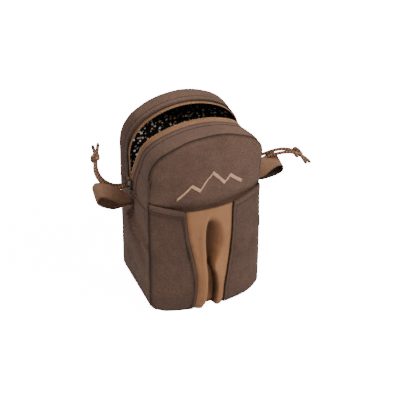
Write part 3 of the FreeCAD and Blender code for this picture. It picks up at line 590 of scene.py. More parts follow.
@dataclass(frozen=True)
class Ground(Finish):
    """The pale floor, which is not part of the pouch."""

    def dress(self, nodes: Tree, shader: bpy.types.Node) -> None:
        """Near-white with a faint grain and a low glow of its own."""
        grain = nodes.noise(nodes.place(), 40.0, 3.0)
        nodes.feed(shader.inputs["Base Color"], nodes.blend(grain, tone(246, 246, 246), tone(252, 252, 252)))
        shader.inputs["Emission Color"].default_value = (1.0, 1.0, 1.0, 1.0)
        seen = nodes.add("LightPath").outputs["Is Camera Ray"]
        nodes.feed(shader.inputs["Emission Strength"], nodes.math("MULTIPLY", seen, PURE_WHITE))


CANVAS = Canvas("brown_canvas")
# Darker copies of the canvas, as painted shade: on the pocket panels and base, and on the hems and bindings.
SHADED_POCKET_CANVAS = Canvas("brown_canvas_pocket_painted_shade", light=(118, 90, 76), dark=(86, 65, 54))
SHADED_HEM_CANVAS = Canvas("brown_canvas_hem_painted_shade", light=(120, 92, 77), dark=(90, 68, 56))
FLECKED = Lining("flecked_lining", rough=0.5, sheen=0.0)
PLAIN_LINING = Lining("plain_lining", rough=0.5, sheen=0.0, flecks=False)
TAPE = Ribbed("zip_tape", light=(176, 130, 96), dark=(120, 84, 58), rough=0.8, pitch=1.0 * MM, turn=1.5 * MM,
              deep=0.25 * MM)
WEBBING = Ribbed("ribbed_webbing", light=(172, 130, 100), dark=(116, 85, 65), rough=0.78, pitch=1.5 * MM,
                 turn=3.2 * MM,
                 slant=0.35, deep=0.4 * MM)
# A darker copy of the webbing, as painted shade: inside the right loop and on both loops' roots.
WEBBING_SHADE = Ribbed("ribbed_webbing_painted_shade", light=(86, 64, 50), dark=(50, 37, 29), rough=0.85, pitch=1.5 * MM,
                       turn=3.2 * MM,
                       slant=0.35, deep=0.4 * MM)
KNIT = Knit("tan_knit", light=(190, 134, 92), dark=(158, 110, 76), rough=0.72, sheen=0.06, pitch=0.7 * MM)
CORD = Braid("mottled_cord", light=(186, 138, 108), dark=(64, 45, 36), rough=0.75, pitch=3.4 * MM, deep=0.9 * MM)
CORD_END = Enamel("sealed_cord_end", light=(82, 56, 42), dark=(52, 36, 28), rough=0.5, sheen=0.0, metal=False,
                  worn=(96, 68, 52))
STITCH = Braid("brown_thread", light=(92, 70, 60), dark=(44, 33, 28), rough=0.7, pitch=0.5 * MM, deep=0.1 * MM,
               turn=0.4 * MM)
SATIN = Braid("satin_thread", light=(236, 190, 150), dark=(186, 140, 106), rough=0.42, sheen=0.3, pitch=0.6 * MM,
              deep=0.08 * MM,
              turn=0.5 * MM)
COIL = Enamel("moulded_coil", light=(186, 140, 104), dark=(126, 90, 62), rough=0.42, sheen=0.0, metal=False,
              worn=(205, 172, 140))
BRONZE = Enamel("bronze_paint", light=(88, 66, 52), dark=(46, 34, 28), rough=0.38, sheen=0.0)
GROUND = Ground("pale_floor", rough=0.95, sheen=0.0)


# ---------------------------------------------------------------- mesh helpers
def new_object(name: str, places: np.ndarray, faces: Sequence[Sequence[int]], uv: np.ndarray | None = None,
               seam: np.ndarray | None = None) -> bpy.types.Object:
    """Link a mesh made from places and faces.

    Args:
        name: The piece's name.
        places: Vertex places, any grid shape, with x, y, z last.
        faces: Vertex numbers of each face.
        uv: Cloth coordinates in metres, one pair per vertex.
        seam: Where shade is painted, from 0 to 1, one value per vertex: near seams, in grooves and in hollows; it
            also sets the puckers.

    Returns:
        The object.
    """
    mesh = bpy.data.meshes.new(name)
    mesh.from_pydata(places.reshape(-1, 3).tolist(), [], [list(map(int, f)) for f in faces])
    if uv is not None:
        order = np.concatenate([np.asarray(f) for f in faces])
        layer = mesh.uv_layers.new(name="cloth")
        layer.data.foreach_set("uv", uv.reshape(-1, 2)[order].astype(np.float32).ravel())
    if seam is not None:
        mark = mesh.attributes.new("seam", "FLOAT", "POINT")
        mark.data.foreach_set("value", np.clip(seam, 0, 1).astype(np.float32).ravel())
    piece = bpy.data.objects.new(name, mesh)
    bpy.context.scene.collection.objects.link(piece)
    return piece


def quads(rows: int, columns: int, flip: bool, closed: bool = False) -> list[list[int]]:
    """The faces of a grid of places; closed joins the last column to the first."""
    number = np.arange(rows * columns).reshape(rows, columns)
    if closed:
        number = np.concatenate([number, number[:, :1]], axis=1)
    faces = np.stack([number[:-1, :-1], number[:-1, 1:], number[1:, 1:], number[1:, :-1]], axis=-1).reshape(-1, 4)
    return (faces[:, ::-1] if flip else faces).tolist()


def cloth(name: str, places: np.ndarray, uv: np.ndarray, seam: np.ndarray | None = None,
          flip: bool = False) -> bpy.types.Object:
    """A sheet from a grid of places."""
    rows, columns = places.shape[:2]
    return new_object(name, places, quads(rows, columns, flip), uv, seam)


def activate(piece: bpy.types.Object) -> None:
    """Select one object alone and make it active."""
    bpy.ops.object.select_all(action="DESELECT")
    piece.select_set(True)
    bpy.context.view_layer.objects.active = piece


def apply(piece: bpy.types.Object, kind: str, **settings: Any) -> None:
    """Add a modifier and apply it."""
    activate(piece)
    modifier = piece.modifiers.new(kind.lower(), kind)
    for key, value in settings.items():
        setattr(modifier, key, value)
    bpy.ops.object.modifier_apply(modifier=modifier.name)


def wall(piece: bpy.types.Object, thickness: float, outer: Finish, inner: Finish | None = None) -> None:
    """Give a sheet its thickness, inward, and its finishes.

    Args:
        piece: The sheet, its faces pointing outward.
        thickness: Wall thickness in metres.
        outer: Finish of the outer side.
        inner: Finish of the inner side, if it differs.
    """
    piece.data.materials.append(outer.material())
    if inner:
        piece.data.materials.append(inner.material())
    apply(piece, "SOLIDIFY", thickness=thickness, offset=-1.0, use_even_offset=False, material_offset=1 if inner
          else 0)
    smooth(piece)


def smooth(piece: bpy.types.Object, angle: float = 50.0) -> None:
    """Smooth shading with crisp edges beyond an angle."""
    activate(piece)
    bpy.ops.object.shade_smooth_by_angle(angle=math.radians(angle))


def block(centre: Sequence[float], size: Sequence[float]) -> bpy.types.Object:
    """A plain block of a size at a place."""
    bpy.ops.object.select_all(action="DESELECT")
    bpy.ops.mesh.primitive_cube_add(size=1.0, location=centre)
    made = bpy.context.object
    made.scale = size
    bpy.ops.object.transform_apply(location=True, rotation=True, scale=True)
    return made


def copies(name: str, model: bpy.types.Object, frames: Iterable[Matrix], finish: Finish) -> bpy.types.Object:
    """One piece made of many copies of a small model, which is then removed.

    Args:
        name: The new piece's name.
        model: The small model, at the origin.
        frames: Where each copy goes.
        finish: The finish of all copies.

    Returns:
        The piece.
    """
    corners = np.array([v.co for v in model.data.vertices])
    shapes = [list(p.vertices) for p in model.data.polygons]
    low = corners.min(0)
    flat = np.stack([corners[:, 0] - low[0], corners[:, 1] - low[1] + corners[:, 2] - low[2]], axis=1)
    places, faces, uv = [], [], []
    for i, frame in enumerate(frames):
        m = np.array(frame)
        places.append(corners @ m[:3, :3].T + m[:3, 3])
        faces += [[v + i * len(corners) for v in shape] for shape in shapes]
        uv.append(flat + i * 0.0037)
    piece = new_object(name, np.concatenate(places), faces, np.concatenate(uv))
    piece.data.materials.append(finish.material())
    bpy.data.objects.remove(model)
    smooth(piece, 70.0)
    return piece


def capsule(length: float, radius: float) -> bpy.types.Object:
    """A small rounded rod along X, for a stitch or a coil's tooth."""
    bpy.ops.object.select_all(action="DESELECT")
    bpy.ops.mesh.primitive_cylinder_add(vertices=6, radius=radius, depth=length * 0.66,
                                        rotation=(0, math.pi / 2, 0))
    rod = bpy.context.object
    bpy.ops.object.transform_apply(location=True, rotation=True, scale=True)
    bpy.ops.object.mode_set(mode="EDIT")
    for sign in (-1, 1):
        bpy.ops.mesh.select_all(action="DESELECT")
        shape = bmesh.from_edit_mesh(rod.data)
        shape.faces.ensure_lookup_table()
        for face in shape.faces:
            face.select_set(face.normal.x * sign > 0.9)
        bmesh.update_edit_mesh(rod.data)
        bpy.ops.mesh.extrude_region_move(TRANSFORM_OT_translate={"value": (sign * length * 0.17, 0, 0)})
        bpy.ops.transform.resize(value=(1, 0.45, 0.45))
    bpy.ops.object.mode_set(mode="OBJECT")
    return rod


def frame_at(place: Iterable[float], ahead: Vector, up: Vector) -> Matrix:
    """A frame at a place, X ahead and Z as near to up as it can be."""
    up = (up - ahead * up.dot(ahead)).normalized()
    return Matrix.Translation(Vector(place)) @ Matrix((ahead, up.cross(ahead), up)).transposed().to_4x4()


def along(points: np.ndarray, normals: np.ndarray | Sequence[float], pitch: float,
          skip: float = 0.0) -> list[Matrix]:
    """Frames at even steps along a line, X along it and Z along its normals.

    Args:
        points: Places along the line.
        normals: Surface normals at those places, or one for all.
        pitch: Step in metres.
        skip: Length left free at each end.

    Returns:
        The frames.
    """
    run = running(points)
    normals = np.broadcast_to(normals, points.shape)
    count = max(2, int((run[-1] - 2 * skip) / pitch))
    marks = skip + (np.arange(count) + 0.5) * (run[-1] - 2 * skip) / count

    def read(where: np.ndarray, values: np.ndarray) -> np.ndarray:
        """Values read at lengths along the line."""
        return np.stack([np.interp(where, run, values[:, k]) for k in range(3)], axis=1)

    spots, ahead, up = read(marks, points), read(marks + pitch * 0.2, points), read(marks, normals)
    return [frame_at(p, Vector(q - p).normalized(), Vector(n)) for p, q, n in zip(spots, ahead, up)]


def stitches(name: str, points: np.ndarray, normals: np.ndarray | Sequence[float], pitch: float = 3.0 * MM,
             skip: float = 0.0) -> bpy.types.Object:
    """A row of stitches along a line on a surface."""
    return copies(name, capsule(pitch * 0.8, 0.3 * MM), along(points, normals, pitch, skip), STITCH)


def tube(name: str, path: np.ndarray, radius: float, sides: int, ends: Finish | None = None) -> bpy.types.Object:
    """A round length of cord along a path, with domed ends and a map in metres.

    Args:
        name: The piece's name.
        path: Places along its middle.
        radius: Half its thickness.
        sides: Sides round it.
        ends: Finish of its far end, if it differs.

    Returns:
        The piece.
    """
    run = running(path)
    aim = np.gradient(path, axis=0)
    aim /= np.linalg.norm(aim, axis=1)[:, None]
    side = np.cross(aim[0], (0.0, 0.0, 1.0) if abs(aim[0][2]) < 0.9 else (1.0, 0.0, 0.0))
    frames = []
    for t in aim:
        side = side - t * (side @ t)
        side /= np.linalg.norm(side)
        frames.append((side.copy(), np.cross(t, side)))
    tip = len(path) - 1
    dome = [(0.02, 0.0), (0.45, 0.14), (0.8, 0.5)]
    stops = [(0, share, 0.6 * back) for share, back in dome] + [(k, 1.0, 0.0) for k in range(2, tip - 1)]
    stops += [(tip, share, -0.6 * back) for share, back in reversed(dome)]
    turns = np.linspace(0, 2 * math.pi, sides, endpoint=False)
    places, uv = [], []
    for k, share, shift in stops:
        a, b = frames[k]
        round_it = np.cos(turns)[:, None] * a + np.sin(turns)[:, None] * b
        places.append(path[k] + radius * (shift * aim[k] + share * round_it))
        uv.append(grid(run[k], turns * radius))
    faces = quads(len(stops), sides, flip=False, closed=True)
    last = (len(stops) - 1) * sides
    faces += [list(range(sides)), [last + k for k in reversed(range(sides))]]
    piece = new_object(name, np.array(places), faces, np.array(uv))
    piece.data.materials.append(CORD.material())
    if ends:
        piece.data.materials.append(ends.material())
        for polygon in piece.data.polygons:
            if min(polygon.vertices) >= last - 4 * sides:
                polygon.material_index = 1
    out = bmesh.new()
    out.from_mesh(piece.data)
    bmesh.ops.recalc_face_normals(out, faces=out.faces)
    out.to_mesh(piece.data)
    out.free()
    smooth(piece, 80.0)
    return piece


class Body(Enum):
    """The bodies that pieces ride on."""

    POUCH = "pouch"
    FLAP = "flap"
    LEFT_SLIDER = "left_slider"
    RIGHT_SLIDER = "right_slider"
    LEFT_PULL = "left_pull"
    RIGHT_PULL = "right_pull"


def settle(piece: bpy.types.Object, body: Body | Fold, slot: str, *nodes: str) -> bpy.types.Object:
    """Attach a finished piece to its body, or only bake its transform where it leans with the fold.

    Args:
        piece: The piece.
        body: What it rides on, or the fold that it bends over.
        slot: Its finish in the record; not used.
        nodes: The frame's solids that it stands for.

    Returns:
        The piece.
    """
    if isinstance(body, Fold):
        body.bend(piece)
    else:
        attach(piece, body.value)
    if nodes:
        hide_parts(*nodes)
    LOG.info("%s: %d faces", piece.name, len(piece.data.polygons) if piece.type == "MESH" else 0)
    return piece


def bar_tack(name: str, points: np.ndarray, normal: Sequence[float], pitch: float, length: float,
             radius: float = 0.32 * MM, nodes: Sequence[str] = ()) -> None:
    """A dense bar of stitches across a short line on the pouch.

    Args:
        name: The piece's name.
        points: Places along the line.
        normal: The way the surface faces.
        pitch: Step between stitches.
        length: Length of one stitch.
        radius: Its half thickness.
        nodes: The frame's solids that it stands for.
    """
    frames = [frame @ Matrix.Rotation(math.pi / 2, 4, "Z") for frame in along(points, normal, pitch)]
    settle(copies(name, capsule(length, radius), frames, STITCH), Body.POUCH, "thread_bar", *nodes)


# ---------------------------------------------------------------- the pouch's pieces
@dataclass
class Sizes:
    """The main sizes, read from the fixed frame."""

    half: float = field(init=False)
    front: float = field(init=False)
    back: float = field(init=False)
    height: float = field(init=False)
    wall: float = 4.4 * MM
    corner: float = 12 * MM
    front_height: float = 223 * MM
    fold_height: float = 140 * MM
    zip_end: float = 131.5 * MM
    zip_line: float = 9 * MM

    def __post_init__(self) -> None:
        """Read the boxes of the outer walls."""
        _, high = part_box("back_panel")
        self.half, self.height, self.back = high.x, high.z, high.y
        self.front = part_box("front_lower_panel")[0].y

    @property
    def fold(self) -> Fold:
        """The fold across the front."""
        return Fold(self.front, self.fold_height)

    def front_arch(self) -> Arch:
        """The outline of the front."""
        return Arch(self.half, self.front_height, 32 * MM)

    def back_arch(self) -> Arch:
        """The outline of the back."""
        return Arch(self.half, self.height + 3.5 * MM, 45 * MM)


def seam_roll(distance: np.ndarray, depth: float = 2.3 * MM, width: float = 1.7 * MM) -> np.ndarray:
    """How far cloth turns in towards a seam at some distance from it."""
    return depth * hump(distance, width)


@dataclass
class Panel:
    """A D-shaped wall: a padded front or back, turned in at its sewn edge."""

    sizes: Sizes
    name: str
    arch: Arch
    low: float
    outward: float
    plane: float
    seed: float
    insets: tuple[float, ...] = (0, 0.5, 1.0, 1.6, 2.3, 3.2, 4.5, 6.5, 9.5)

    def outline(self) -> np.ndarray:
        """The closed outline, arch and lower edge, as x and z."""
        arch, _, _ = self.arch.trace(self.low, 150)
        width = np.linspace(self.arch.half, -self.arch.half, 52)[1:-1]
        rim = np.concatenate([arch, np.stack([width, np.full(len(width), self.low)], axis=1)])
        corner = self.sizes.corner if self.low < self.sizes.corner else 0.0
        out = np.abs(rim[:, 0]) - (self.arch.half - corner)
        down = self.low + corner - rim[:, 1]
        far = np.hypot(out, down)
        turn = (out > 0) & (down > 0) & (far > corner)
        pull = np.where(turn, corner / np.maximum(far, 1e-9), 1.0)
        rim[:, 0] = np.where(turn, np.sign(rim[:, 0]) * (self.arch.half - corner + out * pull), rim[:, 0])
        rim[:, 1] = np.where(turn, self.low + corner - down * pull, rim[:, 1])
        return rim

    def relief(self, x: np.ndarray, z: np.ndarray) -> np.ndarray:
        """How far the wall stands out from its plane."""
        far = self.arch.depth(x, z)
        base = np.minimum(far, np.maximum(z - self.low, 0))
        return 1.2 * MM * ease(base / (25 * MM)) - seam_roll(far) + ripple(x, z, self.seed)

    def seam(self, x: np.ndarray, z: np.ndarray) -> np.ndarray:
        """Nearness of the sewn edge, which sets the painted shade there."""
        return hump(self.arch.depth(x, z), 1.6 * MM)

    def build(self, outer: Finish, inner: Finish) -> bpy.types.Object:
        """Make the wall as rings round its middle.

        Args:
            outer: Finish of the outer side.
            inner: Finish of the inner side.

        Returns:
            The wall.
        """
        outline = self.outline()
        middle = np.array([0.0, (self.low + self.arch.height) / 2])
        reach = np.linalg.norm(outline - middle, axis=1)[:, None]
        shares = [d * MM / reach for d in self.insets]
        last = shares[-1]
        shares += [last + (0.97 - last) * t for t in np.linspace(0, 1, 15)[1:]]
        flat = np.array([outline + (middle - outline) * s for s in shares])
        x, z = flat[..., 0], flat[..., 1]
        places = self.pose(grid(x, self.plane + self.outward * self.relief(x, z), z))
        rings, count = flat.shape[:2]
        centre = np.array([[0.0, self.plane + self.outward * float(self.relief(middle[0], middle[1])), middle[1]]])
        everything = np.concatenate([places.reshape(-1, 3), self.pose(centre)])
        uv = np.concatenate([flat.reshape(-1, 2), middle[None]])
        seam = np.concatenate([self.seam(x, z).ravel(), [0.0]])
        faces = quads(rings, count, flip=self.outward < 0, closed=True)
        tip, start = rings * count, (rings - 1) * count
        for k in range(count):
            face = [start + k, start + (k + 1) % count, tip]
            faces.append(face[::-1] if self.outward < 0 else face)
        piece = new_object(self.name, everything, faces, uv, seam)
        wall(piece, self.sizes.wall, outer, inner)
        return piece

    def pose(self, places: np.ndarray) -> np.ndarray:
        """Upright walls stay as they are."""
        return places


@dataclass
class FlapPanel(Panel):
    """The upper front: bulged at the fold, nearly flat at the crown, leaning open."""

    bulge: float = 14 * MM
    top_bulge: float = 1.0 * MM
    dip: float = 3.4 * MM

    def swell(self, x: np.ndarray, z: np.ndarray) -> np.ndarray:
        """The broad bulge on its own."""
        rise = np.clip((z - self.sizes.fold_height) / (self.sizes.front_height - self.sizes.fold_height), 0, 1)
        size = self.bulge + (self.top_bulge - self.bulge) * rise
        return size * (1 - np.clip(np.abs(x) / self.arch.half, 0, 1) ** 2)

    def relief(self, x: np.ndarray, z: np.ndarray) -> np.ndarray:
        """Bulge, turned-in edge, a dip above the pocket and slight dents."""
        far = self.arch.depth(x, z)
        out = self.swell(x, z) - seam_roll(far, 2.6 * MM, 2.0 * MM) + 0.8 * MM * ease(far / (16 * MM))
        dip = self.dip * (1 - ease((z - 134 * MM) / (17 * MM)))
        return out - dip + ripple(x, z, self.seed, 0.55 * MM)

    def pose(self, places: np.ndarray) -> np.ndarray:
        """Lean the upper part forward."""
        return self.sizes.fold.forward(places)


@dataclass
class Strip:
    """Half of the zipped gusset: cloth band, tape, coil and stitch rows."""

    sizes: Sizes
    word: str
    arch: Arch
    tape_shown: float
    slack: float
    gap: float = 1.1 * MM
    widen: float = 2.6 * MM
    foot: float = 124 * MM
    rows: tuple[float, float] = (2.2 * MM, 9.5 * MM)
    count: int = 190

    @property
    def forward(self) -> bool:
        """Whether this is the flap's half."""
        return self.word == "front"

    @property
    def seam_line(self) -> float:
        """Where the band's sewn edge runs, across the pouch."""
        return self.sizes.front if self.forward else self.sizes.back

    def zip_edge(self, z: np.ndarray) -> np.ndarray:
        """Where the tape's toothed edge runs, across the pouch."""
        away = self.widen * ease((z - 134 * MM) / (40 * MM))
        if self.forward:
            lean = math.tan(math.radians(6.0)) * np.maximum(z - self.sizes.fold_height, 0)
            return self.sizes.zip_line - self.gap - lean - away
        return self.sizes.zip_line + self.gap + away

    def surface(self, across: np.ndarray, lift: Callable[[np.ndarray, np.ndarray, np.ndarray], np.ndarray],
                count: int | None = None) -> tuple[np.ndarray, np.ndarray, np.ndarray, np.ndarray]:
        """Places on the band.

        Args:
            across: Distances from the cloth's edge at the tape; from the sewn edge where 2 is added.
            lift: Height over the outline from the distances, the band's width and the heights.
            count: Places along the arch.

        Returns:
            Places, cloth coordinates, the distances used and the band's width.
        """
        flat, normal, s = self.arch.trace(self.foot, count or self.count)
        z = flat[:, 1:]
        sign = -1.0 if self.forward else 1.0
        edge = self.zip_edge(z) + sign * self.tape_shown
        width = np.abs(self.seam_line - edge)
        distance = np.where(across > 1.0, width - (across - 2.0), across)
        height = lift(distance, width, z)
        y = edge + sign * distance
        places = grid(flat[:, :1] + normal[:, :1] * height, y, z + normal[:, 1:] * height)
        if self.forward:
            places = self.sizes.fold.forward(places)
        return places, grid(s[:, None], y), distance, width
    def sag(self, distance: np.ndarray, width: np.ndarray, z: np.ndarray) -> np.ndarray:
        """How far the open gusset's free edge sinks below the outline."""
        free = np.clip(1.0 - distance / width, 0.0, 1.0) ** 1.25
        return self.slack * free * ease((z - 150 * MM) / (58 * MM))

    def tape_lift(self, distance: np.ndarray, width: np.ndarray, z: np.ndarray) -> np.ndarray:
        """The tape lies just under the cloth's edge."""
        tuck = 2.0 * MM * (1 - ease((z - 130 * MM) / (4 * MM)))
        return -0.9 * MM + 0.2 * MM * np.sin(distance / MM * 0.8) - tuck - self.sag(distance, width, z)

    def band_lift(self, distance: np.ndarray, width: np.ndarray, z: np.ndarray) -> np.ndarray:
        """The band's relief: doubled edge, stitch grooves, soft crown and turned-in seam."""
        grooves = sum(0.5 * MM * hump(distance - row, 0.55 * MM) for row in self.rows)
        doubled = 0.6 * MM * (1 - ease((distance - self.rows[1]) / (1.2 * MM)))
        inner = np.clip((distance - self.rows[1]) / np.maximum(width - self.rows[1], MM), 0, 1)
        crown = 0.9 * MM * np.sin(np.pi * inner) * ease((width - distance) / (9 * MM))
        tuck = 2.2 * MM * (1 - ease((z - 131 * MM) / (5 * MM)))
        dents = ripple(z, distance, 3.0 if self.forward else 5.0, 0.3 * MM) * ease((z - 128 * MM) / (20 * MM))
        roll = seam_roll(width - distance, 2.4 * MM, 1.8 * MM)
        return doubled - grooves + crown - roll - tuck - self.sag(distance, width, z) + dents

    def build(self) -> None:
        """Make the band, tape, coil and stitch rows."""
        near = [0, 0.4, 1.0, 1.7, 2.2, 2.7, 3.4, 5.0, 7.2, 8.8, 9.5, 10.2, 11.2, 12.8]
        far = [14, 10.5, 7.6, 5.4, 3.8, 2.7, 1.8, 1.1, 0.5, 0.0]
        across = np.array([v * MM for v in near] + [v * MM + 2.0 for v in far])
        places, uv, distance, width = self.surface(across, self.band_lift)
        # Painted shade at the sewn edge, in the stitch grooves and at the cloth's edge by the tape.
        rows = sum(0.55 * hump(distance - row, 0.5 * MM) for row in self.rows)
        seam = hump(width - distance, 1.4 * MM) + rows + 0.7 * hump(distance, 0.4 * MM)
        band = cloth(f"{self.word}_strip", places, uv, seam, flip=not self.forward)
        wall(band, 2.0 * MM, CANVAS, PLAIN_LINING)
        body: Body | Fold = self.sizes.fold if self.forward else Body.POUCH
        settle(band, body, "canvas", f"{self.word}_zip_strip", f"{self.word}_zip_strip_lining")
        length = self.arch.trace(self.foot, 3)[2][-1]
        edge = np.array([3.0 * MM, 1.5 * MM, 0.3 * MM, -0.5 * MM,
                         *(-self.tape_shown * np.array([0.25, 0.5, 0.75, 1.0]))])
        places, uv, distance, _ = self.surface(edge, self.tape_lift)
        # Painted shade where the tape runs under the cloth's edge.
        tape = cloth(f"{self.word}_zip_tape", places, uv, 0.9 * hump(distance, 0.9 * MM), flip=self.forward)
        wall(tape, 0.7 * MM, TAPE)
        settle(tape, body, "zipper_tape", f"{self.word}_zipper_tape")
        self.coil(body)
        for k, row in enumerate(self.rows):
            upper, lower = (self.surface(np.array([row]), lambda d, w, z: self.band_lift(d, w, z) + rise,
                                         420)[0][:, 0]
                            for rise in (0.25 * MM, -1.0 * MM))
            thread = stitches(f"{self.word}_topstitch_{k + 1}", upper, upper - lower, skip=9 * MM)
            settle(thread, body, "thread_bar")
    def coil(self, body: Body | Fold) -> None:
        """The coil's teeth along the tape's edge."""
        reach = -self.tape_shown
        points = self.surface(np.array([reach, reach - 1.0 * MM]), self.tape_lift, 520)[0]
        upper = self.surface(np.array([reach]), lambda d, w, z: self.tape_lift(d, w, z) + MM, 520)[0]
        middle, toward = points[:, 0], points[:, 1] - points[:, 0]
        up = upper[:, 0] - middle
        frames = []
        for frame in along(middle, up, 1.55 * MM, skip=6 * MM):
            spot = frame.to_translation()
            k = int(np.argmin(np.linalg.norm(middle - np.array(spot), axis=1)))
            frames.append(frame_at(spot, Vector(toward[k]).normalized(), Vector(up[k])))
        teeth = copies(f"{self.word}_coil", capsule(2.7 * MM, 0.55 * MM), frames, COIL)
        settle(teeth, body, "zipper_coil", f"{self.word}_zipper_coil")
@dataclass
class Gusset:
    """The padded side walls and base in one band, with tension folds below the loops."""

    sizes: Sizes
    puff: float = 4.2 * MM
    stitch_drop: float = 4.2 * MM
    folds: tuple[Crease, ...] = (
        Crease((4, 106), (-43, 86), 8.5, 3.2), Crease((10, 96), (-28, 66), -6.0, 7.5),
        Crease((22, 118), (30, 60), 1.4, 5.0),
        Crease((-6, 116), (-40, 112), 1.2, 3.0), Crease((0, 40), (-36, 24), 1.0, 5.0),
        Crease((38, 88), (12, 34), -1.3, 6.0))

    def top(self, y: np.ndarray) -> np.ndarray:
        """Height of the walls' upper edge."""
        slope = (self.sizes.fold_height - 1.0 * MM - self.sizes.zip_end) / (self.sizes.zip_line - self.sizes.front)
        return self.sizes.zip_end + slope * np.maximum(self.sizes.zip_line - y, 0)

    def section(self, part: int, t: float, top: np.ndarray) -> tuple[np.ndarray, np.ndarray, float, float, float]:
        """One row of the band, down the left wall, under the base and up the right wall.

        Args:
            part: 0 left wall, 1 and 3 lower corners, 2 base, 4 right wall.
            t: Share of the way along that part.
            top: Heights of the walls' upper edge.

        Returns:
            The row's x and z, its outward direction as x and z, and the length so far.
        """
        s = self.sizes
        corner, floor = s.corner, s.half - s.corner
        lengths = (s.fold_height - corner, corner * math.pi / 2, 2 * floor, corner * math.pi / 2,
                   s.fold_height - corner)
        run = sum(lengths[:part]) + t * lengths[part]
        if part in (0, 4):
            sign, down = (-1.0, t) if part == 0 else (1.0, 1 - t)
            return sign * s.half + 0 * top, top + (corner - top) * down, sign, 0.0, run
        if part == 2:
            return (2 * t - 1) * floor + 0 * top, 0 * top, 0.0, -1.0, run
        sign, turn = (-1.0, math.pi * (1 + t / 2)) if part == 1 else (1.0, math.pi * (1.5 + t / 2))
        nx, nz = math.cos(turn), math.sin(turn)
        return sign * floor + corner * nx + 0 * top, corner + corner * nz + 0 * top, nx, nz, run

    def wall_lift(self, part: int, z: np.ndarray, top: np.ndarray, across: np.ndarray,
                  edge: np.ndarray) -> np.ndarray:
        """How far a side wall stands out: its padding, folds, dents and the roll at its upper edge."""
        puff, deepen, shift = (0.6, 1.0, 0.0) if part == 0 else (1.4, 0.6, 4 * MM)
        waist = ease((z - self.sizes.corner) / (24 * MM)) * ease((top - z) / (46 * MM))
        swell = self.puff * puff * waist * ease(edge / (26 * MM))
        deep = sum(fold.offset(across, z + shift) for fold in self.folds) * deepen
        dents = ripple(across, z, 2.0 + part, 0.5 * MM)
        roll = 0.7 * MM * hump(top - z, 2.6 * MM) - 0.5 * MM * hump(top - z - self.stitch_drop, 0.8 * MM)
        return swell + (deep + dents) * ease(edge / (5 * MM)) + roll

    def build(self) -> None:
        """Make the band, then the stitches across the sides below the zip's ends, then the base board."""
        s = self.sizes
        near = [0, 0.5, 1.0, 1.6, 2.4, 3.4, 5.0, 7.5]
        across = np.array(near + list(np.linspace(11, 79, 20)) + [90 - v for v in reversed(near)]) * MM + s.front
        top = self.top(across)
        edge = np.minimum(across - s.front, s.back - across)
        places, uv, seam = [], [], []
        for part, steps in enumerate((44, 9, 22, 9, 44)):
            for t in np.linspace(0, 1, steps)[min(part, 1):]:
                x, z, nx, nz, run = self.section(part, t, top)
                # Painted shade beside the seams, and in the groove under the stitch line below.
                lift, mark = -seam_roll(edge, 2.2 * MM, 1.7 * MM), hump(edge, 1.5 * MM)
                if part in (0, 4):
                    lift = lift + self.wall_lift(part, z, top, across, edge)
                    mark = mark + 0.7 * hump(top - z - self.stitch_drop, 0.6 * MM)
                places.append(grid(x + nx * lift, across, np.maximum(z + nz * lift, 0.0)))
                uv.append(grid(run, across))
                seam.append(mark)
        band = cloth("side_and_base_walls", np.array(places), np.array(uv), np.array(seam))
        wall(band, s.wall, CANVAS, PLAIN_LINING)
        settle(band, Body.POUCH, "canvas", "left_side_panel", "right_side_panel", "left_side_foam",
               "right_side_foam",
               "left_side_lining", "right_side_lining", "base_panel", "base_foam")
        y = np.linspace(s.front + 3 * MM, s.back - 3 * MM, 60)
        for sign, word in SIDES:
            points = grid(sign * (s.half + 0.35 * MM), y, self.top(y) - self.stitch_drop)
            settle(stitches(f"{word}_gusset_topstitch", points, (sign, 0.0, 0.0)), Body.POUCH, "thread_bar")
        self.board()
    def board(self) -> None:
        """The lined stiffening board on the floor inside."""
        low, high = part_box("base_lining")
        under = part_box("base_stiffener")[0]
        centre = ((low.x + high.x) / 2, (low.y + high.y) / 2, (under.z + high.z) / 2)
        board = block(centre, (high.x - low.x, high.y - low.y, high.z - under.z))
        board.name = "base_board"
        bpy.ops.object.mode_set(mode="EDIT")
        bpy.ops.mesh.select_all(action="SELECT")
        bpy.ops.mesh.subdivide(number_cuts=5)
        bpy.ops.object.mode_set(mode="OBJECT")
        apply(board, "BEVEL", width=0.8 * MM, segments=3, limit_method="ANGLE")
        plane_map(board)
        board.data.materials.append(PLAIN_LINING.material())
        smooth(board)
        settle(board, Body.POUCH, "lining", "base_lining", "base_stiffener")


